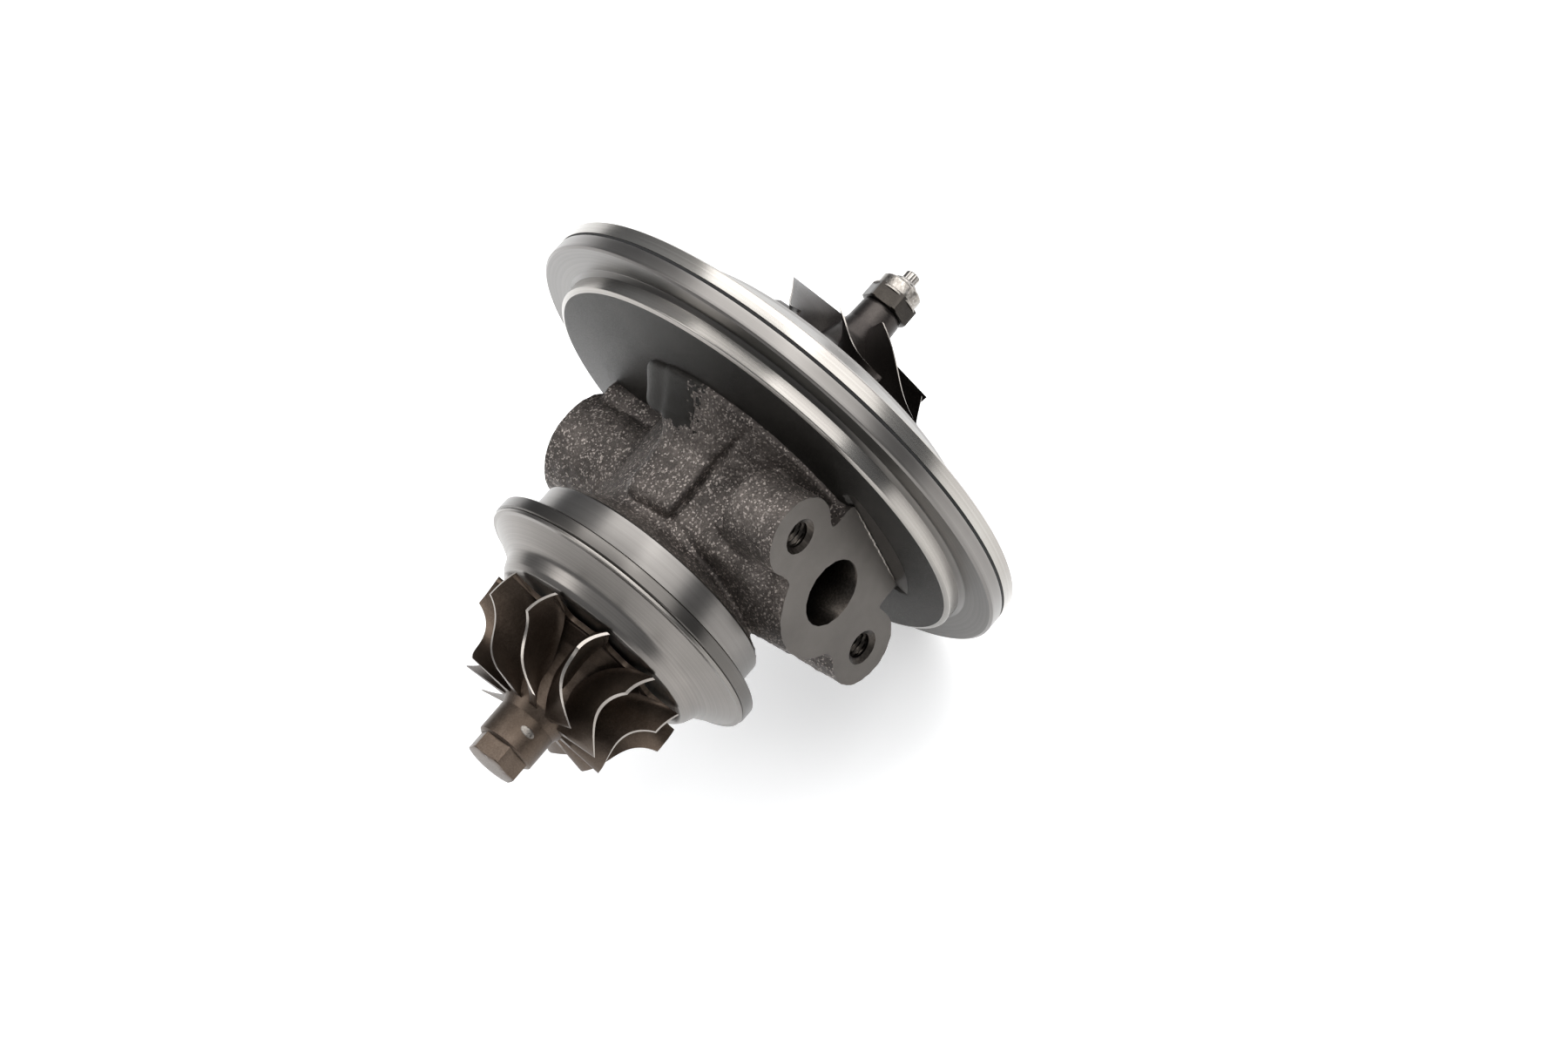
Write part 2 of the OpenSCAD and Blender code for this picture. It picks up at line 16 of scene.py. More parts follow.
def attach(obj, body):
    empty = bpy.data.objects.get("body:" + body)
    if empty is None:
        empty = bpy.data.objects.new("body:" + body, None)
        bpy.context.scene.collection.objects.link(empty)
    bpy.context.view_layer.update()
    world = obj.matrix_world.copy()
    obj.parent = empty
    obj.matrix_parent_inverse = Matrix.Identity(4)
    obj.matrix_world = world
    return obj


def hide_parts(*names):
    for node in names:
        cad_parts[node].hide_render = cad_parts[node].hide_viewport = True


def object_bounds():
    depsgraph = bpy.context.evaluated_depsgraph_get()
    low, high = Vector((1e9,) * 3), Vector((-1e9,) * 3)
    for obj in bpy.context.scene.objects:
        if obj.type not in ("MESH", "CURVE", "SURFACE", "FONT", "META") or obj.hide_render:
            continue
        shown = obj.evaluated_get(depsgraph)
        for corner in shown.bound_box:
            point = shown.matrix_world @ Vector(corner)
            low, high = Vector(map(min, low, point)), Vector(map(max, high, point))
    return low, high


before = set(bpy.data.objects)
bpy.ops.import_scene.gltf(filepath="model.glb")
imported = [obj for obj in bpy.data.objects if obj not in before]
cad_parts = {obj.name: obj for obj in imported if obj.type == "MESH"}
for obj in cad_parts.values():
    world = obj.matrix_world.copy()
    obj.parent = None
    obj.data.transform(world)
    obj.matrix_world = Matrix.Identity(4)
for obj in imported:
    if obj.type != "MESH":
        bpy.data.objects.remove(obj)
cad_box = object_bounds()

MM = 0.001
SEED = 7

# ---------------------------------------------------------------- sizes that drive the pieces, in mm

RIM_R, RIM_HALF, GROOVE_DEPTH = 52.5, 3.25, 1.15
FLANGE_R, FLANGE_X, FLANGE_BACK_X = 29.2, -45.2, -42.5
BAND_R, BAND_END_X = 24.5, -35.7
# The casting's shoulders, duct, bell, lobes and ribs. Its mesh ends inside the band and the disc
SHOULDER_TOP_Y, SHOULDER_Z, DUCT_Z, BELL_END_Y = 4.9, 20.2, 15.6, -31.0
LOBE_TOP_Y, LOBE_INNER_R, RIB_X, RIB_R = 12.9, 22.6, -11.6, 4.9
BAND_CUT_X, DISC_CUT_X = BAND_END_X + 0.02, -7.2
# The crease's angle at 18 mm from the shaft, in degrees, and its lean, in radians per mm outwards
CREASE_ANGLE, CREASE_LEAN = 111, 0.0098
# Oil drain and inlet: both lie in one plane across the shaft
PORT_X, PORT_R, PORT_MOUTH_R = -20.75, 6.4, 6.65
DRAIN_Y, BOLT_Z, BOLT_MOUTH_R = -31.9, 19.0, 3.5
TOWER_R, BOLT_BOSS_R, BOLT_BOSS_END_Y = 13.1, 7.6, -20
INLET_Y, INLET_R, INLET_MOUTH_R = 31.0, 10.8, 6.9
STEP_X = -8.55
HOLE_SIDES = 64
TURBINE_BLADES, TURBINE_ANGLE = 11, 55.1
TURBINE_BACK_X, TURBINE_TIP_X = -53.6, -59.2
NOSE_R = 5.8
EXDUCER_R, COMPRESSOR_BLADES, COMPRESSOR_ANGLE = 24.5, 4, 40.3
WHEEL_BACK_X, WHEEL_NOSE_X, WHEEL_NOSE_R = 10.5, 30.7, 4.2
# The bore through the compressor wheel and the nut, and the nut's width across its flats
BORE_R, NUT_WIDTH = 2.5, 9


# What a piece stands for: its body, CAD node and material slot
HOUSING = "housing", "bearing_housing", "cast_iron_housing"
SHIELD = "housing", "heat_shield", "shield_sheet"
TURBINE = "rotor", "turbine_wheel", "turbine_alloy"
COMPRESSOR = "rotor", "compressor_wheel", "compressor_alloy"
NUT = "rotor", "lock_nut", "nut_steel"


# ---------------------------------------------------------------- mesh helpers

def mesh_piece(name, points, faces, part, materials, smooth_angle, marks=None):
    """A clean mesh from points in mm, in the frame. part is its (body, CAD node, material slot); the
    material slot is not used. marks gives each face's material index, and edges sharper than smooth_angle
    stay crisp."""
    mesh = bpy.data.meshes.new(name)
    mesh.from_pydata((np.asarray(points, float) * MM).tolist(), [], faces)
    if marks is not None:
        mesh.polygons.foreach_set("material_index", np.asarray(marks, np.int32))
    bm = bmesh.new()
    bm.from_mesh(mesh)
    bmesh.ops.remove_doubles(bm, verts=bm.verts, dist=1e-7)
    bmesh.ops.dissolve_degenerate(bm, dist=1e-8, edges=bm.edges)
    bmesh.ops.recalc_face_normals(bm, faces=bm.faces)
    bm.to_mesh(mesh)
    bm.free()
    mesh.shade_smooth()
    mesh.set_sharp_from_angle(angle=radians(smooth_angle))
    if len(materials) > 1:
        crisp_borders(mesh)
    for material in materials:
        mesh.materials.append(material)
    piece = bpy.data.objects.new(name, mesh)
    bpy.context.scene.collection.objects.link(piece)
    body, node, slot = part
    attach(piece, body)
    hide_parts(node)


def crisp_borders(mesh):
    """Marks the edges between two finishes as sharp."""
    marks = {}
    for face in mesh.polygons:
        for key in face.edge_keys:
            marks.setdefault(key, set()).add(face.material_index)
    sharp = mesh.attributes.get("sharp_edge") or mesh.attributes.new("sharp_edge", "BOOLEAN", "EDGE")
    for edge in mesh.edges:
        if len(marks.get(edge.key, ())) > 1:
            sharp.data[edge.index].value = True


def rounded(profile, arc_points=5):
    """A profile of [x, radius] or [x, radius, fillet] corners, with each fillet turned into an arc."""
    out = []
    count = len(profile)
    for i, corner in enumerate(profile):
        here = Vector(corner[:2])
        fillet = corner[2] if len(corner) > 2 else 0
        before, after = Vector(profile[i - 1][:2]) - here, Vector(profile[(i + 1) % count][:2]) - here
        if not fillet or before.length < 1e-6 or after.length < 1e-6:
            out.append(tuple(here))
            continue
        before_unit, after_unit = before.normalized(), after.normalized()
        half = before_unit.angle(after_unit) / 2
        if half > radians(89):
            out.append(tuple(here))
            continue
        reach = min(fillet / tan(half), 0.49 * before.length, 0.49 * after.length)
        start, end = here + before_unit * reach, here + after_unit * reach
        for k in range(arc_points + 1):
            t = k / arc_points
            out.append(tuple((1 - t) ** 2 * start + 2 * t * (1 - t) * here + t * t * end))
    return out


def around(x, r, angle):
    """A point at an angle, in radians, about the shaft."""
    return (x, r * cos(angle), r * sin(angle))


def turned(profile, segments=256):
    """Points and faces of a ring or bar turned about the shaft from a closed profile."""
    rows = len(profile)
    points = [around(x, max(r, 0.0), 2 * pi * k / segments) for k in range(segments) for x, r in profile]
    faces = []
    for k in range(segments):
        a, b = k * rows, ((k + 1) % segments) * rows
        for i in range(rows):
            j = (i + 1) % rows
            if profile[i][1] <= 0 and profile[j][1] <= 0:
                continue
            faces.append((a + i, a + j, b + j, b + i))
    return points, faces


def join(*parts):
    """Several (points, faces) as one."""
    points, faces = [], []
    for p, f in parts:
        base = len(points)
        points += list(p)
        faces += [tuple(i + base for i in face) for face in f]
    return points, faces


# ---------------------------------------------------------------- material helpers

# Sizes of the slow colour changes over turned and over grained surfaces
MOTTLE_TURNED_MM, MOTTLE_GRAINED_MM = 16.0, 9.0
# A quarter turn from the tangent, which runs along the lathe rings
ACROSS_THE_RINGS = 0.25


def srgb(hex_colour):
    """A '#rrggbb' sRGB colour as linear RGBA."""
    values = [int(hex_colour[i:i + 2], 16) / 255 for i in (1, 3, 5)]
    return [v / 12.92 if v <= 0.04045 else ((v + 0.055) / 1.055) ** 2.4 for v in values] + [1.0]


def add(tree, kind, inputs=None, stops=(), **settings):
    """One shader node, with its settings, each input set to a value or linked to an output,
    and on a colour ramp its stops, [(position, hex colour), ...]."""
    node = tree.nodes.new(kind)
    for name, value in settings.items():
        setattr(node, name, value)
    for key, value in (inputs or {}).items():
        if isinstance(value, bpy.types.NodeSocket):
            tree.links.new(value, node.inputs[key])
        else:
            node.inputs[key].default_value = value
    for k, (position, colour) in enumerate(stops):
        elements = node.color_ramp.elements
        if k == len(elements):
            elements.new(position)
        elements[k].position = position
        elements[k].color = srgb(colour)
    return node


def new_material(name):
    """An empty node material and its tree."""
    material = bpy.data.materials.new(name)
    material.use_nodes = True
    material.node_tree.nodes.clear()
    return material, material.node_tree


def shade(tree, inputs):
    """The material's Principled shader, with its values and links, and the output."""
    shader = add(tree, "ShaderNodeBsdfPrincipled", inputs)
    add(tree, "ShaderNodeOutputMaterial", {"Surface": shader.outputs["BSDF"]}, is_active_output=True)


def per_metre(size_mm):
    """The noise scale whose features are size_mm across."""
    return 1.0 / (size_mm * MM)


def tones(dark, middle, light, light_at=0.7):
    """The stops of a metal's ramp: three colours about the middle of the noise's range."""
    return [(0.3, dark), (0.5, middle), (light_at, light)]


def lathe_place(tree, place):
    """(distance along the shaft, distance from it, 0), in which lathe marks are straight lines."""
    parts = add(tree, "ShaderNodeSeparateXYZ", {"Vector": place})
    radial = add(tree, "ShaderNodeCombineXYZ", {"Y": parts.outputs["Y"], "Z": parts.outputs["Z"]})
    radius = add(tree, "ShaderNodeVectorMath", {0: radial.outputs["Vector"]}, operation="LENGTH")
    flat = add(tree, "ShaderNodeCombineXYZ", {"X": parts.outputs["X"], "Y": radius.outputs["Value"]})
    return flat.outputs["Vector"]


def turned_metal(name, stops, roughness, mark_mm, depth_mm, anisotropy):
    """Metal cut on a lathe: fine rings about the shaft, drawn at mark_mm, over slow colour changes,
    with the reflections drawn out across the rings."""
    material, tree = new_material(name)
    place = add(tree, "ShaderNodeTexCoord").outputs["Object"]
    rings = add(tree, "ShaderNodeTexNoise", {
        "Vector": lathe_place(tree, place), "Scale": per_metre(mark_mm),
        "Detail": 3.0, "Roughness": 0.65}).outputs["Fac"]
    mottle = add(tree, "ShaderNodeTexNoise", {
        "Vector": place, "Scale": per_metre(MOTTLE_TURNED_MM), "Detail": 3.0,
        "Roughness": 0.5}).outputs["Fac"]
    blend = add(tree, "ShaderNodeMix", {"Factor": 0.6, "A": mottle, "B": rings})
    colour = add(tree, "ShaderNodeValToRGB", {"Fac": blend.outputs["Result"]}, stops)
    rough = add(tree, "ShaderNodeMapRange", {
        "Value": mottle, "From Min": 0.3, "From Max": 0.7,
        "To Min": roughness * 0.93, "To Max": roughness * 1.1})
    tangent = add(tree, "ShaderNodeTangent", direction_type="RADIAL", axis="X")
    bump = add(tree, "ShaderNodeBump", {"Height": rings, "Strength": 0.6, "Distance": depth_mm * MM})
    shade(tree, {"Base Color": colour.outputs["Color"], "Metallic": 1.0,
                 "Roughness": rough.outputs["Result"], "Normal": bump.outputs["Normal"],
                 "Anisotropic": anisotropy, "Anisotropic Rotation": ACROSS_THE_RINGS,
                 "Tangent": tangent.outputs["Tangent"]})
    return material


def grained_metal(name, stops, roughness, grain_mm, depth_mm, metallic, painted_glints=None):
    """A surface with an even cast, blasted, moulded or coated grain. Its last argument is (size_mm,
    share, hex colour) of painted glints: small facets whose base colour is painted bright, as if they
    caught the light."""
    material, tree = new_material(name)
    place = add(tree, "ShaderNodeTexCoord").outputs["Object"]
    grain = add(tree, "ShaderNodeTexNoise", {
        "Vector": place, "Scale": per_metre(grain_mm), "Detail": 4.0, "Roughness": 0.7}).outputs["Fac"]
    mottle = add(tree, "ShaderNodeTexNoise", {
        "Vector": place, "Scale": per_metre(MOTTLE_GRAINED_MM), "Detail": 4.0,
        "Roughness": 0.6}).outputs["Fac"]
    blend = add(tree, "ShaderNodeMix", {"Factor": 0.5, "A": mottle, "B": grain})
    colour = add(tree, "ShaderNodeValToRGB", {"Fac": blend.outputs["Result"]}, stops).outputs["Color"]
    rough = add(tree, "ShaderNodeMapRange", {
        "Value": grain, "From Min": 0.3, "From Max": 0.7,
        "To Min": roughness * 0.85, "To Max": min(roughness * 1.2, 1.0)})
    height = grain
    # Painted glints: a share of the facets gets a bright base colour in place of the light they would
    # catch
    if painted_glints:
        size, share, bright = painted_glints
        facets = add(tree, "ShaderNodeTexVoronoi", {"Vector": place, "Scale": per_metre(size)})
        pick = add(tree, "ShaderNodeSeparateColor", {"Color": facets.outputs["Color"]})
        height = add(tree, "ShaderNodeMix", {
            "Factor": 0.5, "A": grain, "B": pick.outputs["Green"]}).outputs["Result"]
        glint = add(tree, "ShaderNodeMapRange", {
            "Value": pick.outputs["Red"], "From Min": 1.0 - share, "From Max": 1.0})
        colour = add(tree, "ShaderNodeMix", {
            "Factor": glint.outputs["Result"], "A": colour, "B": srgb(bright)},
            data_type="RGBA").outputs["Result"]
    bump = add(tree, "ShaderNodeBump", {"Height": height, "Strength": 0.8, "Distance": depth_mm * MM})
    shade(tree, {"Base Color": colour, "Metallic": metallic, "Roughness": rough.outputs["Result"],
                 "Normal": bump.outputs["Normal"]})
    return material


# ---------------------------------------------------------------- materials

# Sand-cast grey iron: dark and a little brown, with 0.45 mm sand grain and painted glints: 0.3 mm facets
# painted bright
cast_iron = grained_metal("sand_cast_iron", tones("#2f2c2a", "#544e4a", "#7e7670", 0.72),
                          0.46, 0.45, 0.50, 0.75, (0.30, 0.22, "#b0a69f"))
# The same iron where the mould face was smooth: charcoal, with fine grain and no glints
dish_iron = grained_metal("smooth_cast_iron", tones("#1f1d1b", "#2b2926", "#383532", 0.72),
                          0.50, 0.30, 0.08, 0.8)
# Milled iron: an even satin grey, its 0.2 mm tool marks hardly showing
milled_iron = grained_metal("milled_iron", tones("#484441", "#514d49", "#5b5753"), 0.42, 0.22, 0.02, 0.9)
# Turned iron: bright neutral silver. The lathe rings are about 0.15 mm apart; on all turned iron they
# are drawn three or four times as far apart, so that they show
turned_iron = turned_metal("turned_iron", tones("#86827e", "#94908b", "#a3a09b"), 0.25, 0.45, 0.004, 0.55)
# Turned iron of the turbine flange and the step's face: a darker satin grey copy of turned iron, its
# darkness painted shade standing in for the dimmer reflections these faces show
shaded_turned_iron = turned_metal("shaded_turned_iron", tones("#4e4c49", "#595653", "#65635f"),
                                0.30, 0.45, 0.004, 0.5)
# Turned iron of the broad faces, satin and darker than the rim
faced_iron = turned_metal("faced_iron", tones("#676461", "#716e6b", "#7c7976"), 0.34, 0.6, 0.003, 0.4)
# Drilled and tapped iron with the drill's rings; its dark walls are painted shade inside the bores
shaded_drilled_iron = turned_metal("shaded_drilled_iron", tones("#2b2825", "#3b3733", "#544e49"), 0.34, 0.5, 0.03, 0.0)
# Pressed stainless sheet: even satin grey, spun rings hardly showing
shield_steel = turned_metal("pressed_stainless", tones("#6e6b67", "#7b7773", "#88847f"),
                            0.33, 0.3, 0.006, 0.3)
# Investment-cast nickel alloy: brown-grey skin with a very fine grain
turbine_alloy = grained_metal("investment_cast_nickel", tones("#3f352c", "#51463d", "#665a50", 0.72),
                              0.40, 0.35, 0.03, 0.9)
# Ground blade edges: bright bare metal
ground_edge = grained_metal("ground_edge", tones("#827d77", "#98928c", "#ada8a2"), 0.34, 0.3, 0.006, 1.0)
# Forged and milled aluminium wheel with its dark hard coat
wheel_coat = grained_metal("hard_coated_aluminium", tones("#242120", "#312d2b", "#3f3b38", 0.72),
                           0.36, 0.4, 0.012, 0.9)
# Black-oxided nut steel: near black, with a soft gloss
nut_oxide = grained_metal("black_oxide_steel", tones("#211f1d", "#2c2926", "#38342f"),
                          0.30, 0.3, 0.008, 0.95)
# Steel ground by hand in balancing: bright with coarse, uneven scratches
balance_ground = grained_metal("balance_ground_steel", tones("#56524e", "#827d77", "#c2beb8", 0.68),
                               0.30, 0.6, 0.08, 1.0)
# Ground shaft steel: smooth mid grey
shaft_steel = turned_metal("ground_shaft_steel", tones("#6f6c68", "#817d79", "#94908b"),
                           0.22, 0.3, 0.006, 0.3)
# Spring steel with its dark, matt phosphate
spring_steel = grained_metal("phosphated_spring_steel", tones("#2b2a29", "#383736", "#474543"),
                             0.45, 0.2, 0.01, 0.8)
# Machined plate steel: light grey with fine rings
plate_steel = turned_metal("machined_plate_steel", tones("#8f8c88", "#a19e9a", "#b3b0ac"),
                           0.30, 0.3, 0.01, 0.4)
# Leaded bearing brass: dull yellow with fine rings
bearing_brass = turned_metal("bearing_brass", tones("#9c7b3e", "#b08d4c", "#c29f5c"),
                             0.26, 0.3, 0.008, 0.4)
# Moulded nitrile rubber: black and almost matt
nitrile = grained_metal("moulded_nitrile", tones("#040404", "#060606", "#090909"), 0.8, 0.25, 0.01, 0.0)


# ---------------------------------------------------------------- camera, floor and light

def unit_rows(azimuth, elevation, roll):
    """The camera's right, up and back directions, from angles in degrees."""
    a, e, r = radians(azimuth), radians(elevation), radians(roll)
    back = Vector((sin(a) * cos(e), -cos(a) * cos(e), sin(e)))
    level_right = Vector((cos(a), sin(a), 0))
    level_up = back.cross(level_right)
    right = level_right * cos(r) - level_up * sin(r)
    return right, back.cross(right), back


def place_camera():
    """A long lens, a metre away, on the drain's side and above. Returns the camera's directions."""
    aim, distance = Vector((-11.1, -7.8, -9.0)), 1032.5
    right, up, back = unit_rows(azimuth=-24.66, elevation=52.56, roll=29.3)
    camera = bpy.data.objects.new("camera", bpy.data.cameras.new("camera"))
    camera.data.lens, camera.data.sensor_width = 130, 36
    camera.matrix_world = Matrix.Translation((aim + back * distance) * MM) @ Matrix(
        (right, up, back)).transposed().to_4x4()
    bpy.context.scene.collection.objects.link(camera)
    bpy.context.scene.camera = camera
    return right, up, back


def place_floor():
    """A wide sheet of pale paper under the part, lit a little from below so that it stays white."""
    half, level = 3.0, cad_box[0].z
    mesh = bpy.data.meshes.new("floor")
    corners = [(-half, -half, level), (half, -half, level), (half, half, level), (-half, half, level)]
    mesh.from_pydata(corners, [], [(0, 1, 2, 3)])
    floor = bpy.data.objects.new("floor", mesh)
    material, tree = new_material("pale_paper")
    place = add(tree, "ShaderNodeTexCoord").outputs["Object"]
    tone = add(tree, "ShaderNodeTexNoise", {"Vector": place, "Scale": 1.5})
    colour = add(tree, "ShaderNodeValToRGB", {"Fac": tone.outputs["Fac"]},
                 [(0.3, "#e6e6e6"), (0.7, "#ececec")])
    shade(tree, {"Base Color": colour.outputs["Color"], "Roughness": 0.95, "Specular IOR Level": 0.0,
                 "Emission Color": srgb("#ffffff"), "Emission Strength": 0.45})
    mesh.materials.append(material)
    bpy.context.scene.collection.objects.link(floor)


def soft_light(name, toward, distance, size, power):
    """A square softbox, distance mm from the part in the given direction, facing it."""
    lamp = bpy.data.lights.new(name, "AREA")
    lamp.shape, lamp.size, lamp.energy = "SQUARE", size * MM, power
    light = bpy.data.objects.new(name, lamp)
    toward = Vector(toward).normalized()
    light.location = toward * distance * MM
    light.rotation_mode = "QUATERNION"
    light.rotation_quaternion = toward.to_track_quat("Z", "Y")
    bpy.context.scene.collection.objects.link(light)


def place_lights(right, up, back):
    """A grey room, lighter overhead, and three softboxes placed about the camera."""
    scene = bpy.context.scene
    scene.view_settings.view_transform = "Standard"
    world = bpy.data.worlds.new("studio")
    scene.world = world
    world.use_nodes = True
    tree = world.node_tree
    tree.nodes.clear()
    way = add(tree, "ShaderNodeTexCoord").outputs["Generated"]
    height = add(tree, "ShaderNodeSeparateXYZ", {"Vector": way}).outputs["Z"]
    upward = add(tree, "ShaderNodeMapRange", {"Value": height, "From Min": -1.0, "From Max": 1.0})
    sky = add(tree, "ShaderNodeValToRGB", {"Fac": upward.outputs["Result"]},
              [(0.40, "#6e6f70"), (0.55, "#8d8f92"), (0.72, "#c2c5c9"), (1.0, "#f4f6f8")])
    background = add(tree, "ShaderNodeBackground", {"Color": sky.outputs["Color"], "Strength": 0.7})
    add(tree, "ShaderNodeOutputWorld", {"Surface": background.outputs["Background"]})
    soft_light("key_softbox", up * 0.9 + back * 0.45 + right * 0.1, 1300, 1300, 22)
    soft_light("left_softbox", up * 0.35 - right * 0.9 + back * 0.5, 1200, 600, 4)
    soft_light("front_softbox", back * 0.87 + right * 0.32 + up * 0.30, 1200, 900, 7)


camera_axes = place_camera()
place_floor()
place_lights(*camera_axes)


# ---------------------------------------------------------------- the rough casting

class Field:
    """A grid of distances to a surface, in mm, built up part by part with blended joins."""

    def __init__(self, low, high, step):
        self.low, self.step = np.array(low, float), step
        counts = [int(ceil((b - a) / step)) + 1 for a, b in zip(low, high)]
        axes = [low[i] + step * np.arange(counts[i]) for i in range(3)]
        grid = np.meshgrid(*axes, indexing="ij", sparse=True)
        self.x, self.y, self.z = (a.astype(np.float32) for a in grid)
        self.value = np.full(counts, 1e3, np.float32)

    def add(self, part, blend):
        """Joins a part, with a fillet about blend mm wide."""
        gap = np.maximum(blend - np.abs(self.value - part), 0) / blend
        self.value = np.minimum(self.value, part) - gap * gap * blend * 0.25

    def surface(self):
        """Points, in mm, and four-sided faces of the surface: one point in each grid cell it crosses."""
        v = self.value
        inside = v < 0
        cells_each_way = tuple(n - 1 for n in v.shape)
        total = np.zeros(cells_each_way + (3,), np.float32)
        count = np.zeros(cells_each_way, np.float32)
        quads = []
        for axis in range(3):
            a = [slice(None)] * 3
            b = [slice(None)] * 3
            a[axis], b[axis] = slice(0, -1), slice(1, None)
            va, vb = v[tuple(a)], v[tuple(b)]
            cross = inside[tuple(a)] != inside[tuple(b)]
            index = np.argwhere(cross)
            t = va[cross] / (va[cross] - vb[cross])
            point = index.astype(np.float32)
            point[:, axis] += t
            u, w = [k for k in range(3) if k != axis]
            cells = []
            for du in (0, 1):
                for dw in (0, 1):
                    cell = index.copy()
                    cell[:, u] -= du
                    cell[:, w] -= dw
                    good = ((cell >= 0) & (cell < np.array(cells_each_way))).all(1)
                    where = tuple(cell[good].T)
                    np.add.at(total, where, point[good])
                    np.add.at(count, where, 1)
                    cells.append((cell, good))
            all_good = cells[0][1] & cells[1][1] & cells[2][1] & cells[3][1]
            order = [cells[i][0][all_good] for i in (0, 1, 3, 2)]
            quads.append(np.stack(order, 1))
        used = count > 0
        number = np.full(used.shape, -1, np.int64)
        number[used] = np.arange(used.sum())
        points = self.low + self.step * (total[used] / count[used][:, None])
        quads = np.concatenate(quads)
        faces = number[quads[..., 0], quads[..., 1], quads[..., 2]]
        return points, faces


def bar_y(f, x, z, r, y0, y1, taper=0.0):
    """Distance to a round bar along Y, growing by taper mm per mm away from y0."""
    across = np.sqrt((f.x - x) ** 2 + (f.z - z) ** 2) - r - taper * np.abs(f.y - y0)
    along = np.maximum(y0 - f.y, f.y - y1)
    return np.minimum(np.maximum(across, along), 0) + np.sqrt(
        np.maximum(across, 0) ** 2 + np.maximum(along, 0) ** 2)


def block(f, low, high):
    """Distance to a box."""
    parts = [np.maximum(low[i] - axis, axis - high[i]) for i, axis in enumerate((f.x, f.y, f.z))]
    outside = np.sqrt(sum(np.maximum(p, 0) ** 2 for p in parts))
    return outside + np.minimum(np.maximum(np.maximum(parts[0], parts[1]), parts[2]), 0)


def turned_form(f, xs, radii, steep=0.85):
    """Roughly the distance to a form turned about the shaft, with the given radii along X."""
    r = np.sqrt(f.y ** 2 + f.z ** 2)
    across = (r - np.interp(f.x, xs, radii)) * steep
    return np.maximum(across, np.maximum(xs[0] - f.x, f.x - xs[-1]))


def rounded_block(f, low, high, r):
    """Distance to a box with edges rounded by r."""
    return block(f, [v + r for v in low], [v - r for v in high]) - r


def both(a, b, blend):
    """The part common to two parts, with the edge between them rounded by blend mm."""
    gap = np.maximum(blend - np.abs(a - b), 0) / blend
    return np.maximum(a, b) + gap * gap * blend * 0.25


def casting_field():
    """The rough casting as a field, running past its machined faces, where it is cut later."""
    f = Field((-36.4, -33.4, -35.5), (-6.9, 32.6, 35.5), 0.42)
    barrel = turned_form(f, (-40, -35.7, -34.9, -33.6, -32.4, -31.2, -30, -26, -6),
                         (24.3, 24.2, 22.6, 20.0, 18.4, 17.6, 17.2, 17.6, 17.6))
    f.add(barrel, 0.5)
    # The bearing body's flat-topped shoulders
    f.add(rounded_block(f, (-29.8, -8, -SHOULDER_Z), (-5, SHOULDER_TOP_Y, SHOULDER_Z), 2.5), 1.4)
    # The drain duct below it
    f.add(rounded_block(f, (-31.0, -26.5, -DUCT_Z), (-5, -4, DUCT_Z), 3.4), 1.6)
    # The bell that opens out to the disc, cut back beside the oil inlet
    bell = turned_form(f, (-28, -22, -18, -15, -12.6, -11.2, -10.5, -6),
                       (16.4, 19.2, 21.8, 24.4, 27.6, 30.2, 31.6, 31.6), 0.7)
    f.add(both(bell, np.maximum(f.y - SHOULDER_TOP_Y, BELL_END_Y - f.y), 1.6), 2.0)
    # The bell's outer edge runs on as a lobe on each side of the inlet
    r = np.sqrt(f.y ** 2 + f.z ** 2)
    f.add(both(both(bell, f.y - LOBE_TOP_Y, 4.5), LOBE_INNER_R - r, 2.5), 1.6)
    # Drain tower: two bolt bosses, the duct between them, and the thick wall beside the disc
    past_face_y = DRAIN_Y - 2
    f.add(bar_y(f, PORT_X, 0, TOWER_R, past_face_y, -4, 0.02), 2.5)
    for side in (-1, 1):
        f.add(bar_y(f, PORT_X, side * BOLT_Z, BOLT_BOSS_R, past_face_y, BOLT_BOSS_END_Y, 0.01), 1.4)
    f.add(block(f, (PORT_X - 6.2, past_face_y, -BOLT_Z), (PORT_X + 6.2, -16, BOLT_Z)), 1.4)
    f.add(rounded_block(f, (PORT_X, DRAIN_Y - 6, -14.4), (STEP_X, -14, 12.8), 1.2), 1.2)
    # Oil inlet boss and the two ribs that tie it to the disc
    f.add(bar_y(f, PORT_X, 0, INLET_R - 0.05, 0, INLET_Y + 1.2, -0.004), 1.2)
    for rib_z in (3.9, -4.5):
        f.add(bar_y(f, RIB_X, rib_z, RIB_R, 6, 29.4), 0.5)
    # Crease where the two core halves met: a sharp valley in a shallow one, which leans as it
    # climbs from the neck to the bell and fades out at both ends
    lean = CREASE_LEAN * (r - 18)
    for side in (-1, 1):
        gap = np.abs(np.arctan2(side * f.z, f.y) - radians(CREASE_ANGLE) - lean) * r
        along = np.clip((f.x + 30.8) / 3, 0, 1) * np.clip((-10.5 - f.x) / 3.5, 0, 1)
        valley = 0.35 * np.exp(-(gap / 2.2) ** 2) + 1.15 * np.exp(-(gap / 0.62) ** 2)
        f.value = f.value + valley * along
    return f


def value_noise(points, size, seed):
    """Smooth noise from -1 to 1 with features size mm across, the same for a seed each time."""
    q = points / size
    cell = np.floor(q).astype(np.int64)
    t = q - cell
    t = t * t * (3 - 2 * t)
    out = np.zeros(len(points))
    for dx in (0, 1):
        for dy in (0, 1):
            for dz in (0, 1):
                c = cell + (dx, dy, dz)
                # A hash of the cell's corner: three large primes, one for each axis, and one for the seed
                h = (c[:, 0] * 73856093) ^ (c[:, 1] * 19349663) ^ (c[:, 2] * 83492791)
                h = h ^ (seed * 2654435761)
                h = (h ^ (h >> 13)) * 1274126177 & 0x7FFFFFFF
                weight = np.ones(len(points))
                for axis, d in enumerate((dx, dy, dz)):
                    weight *= t[:, axis] if d else 1 - t[:, axis]
                out += weight * (h % 65536 / 32767.5 - 1)
    return out


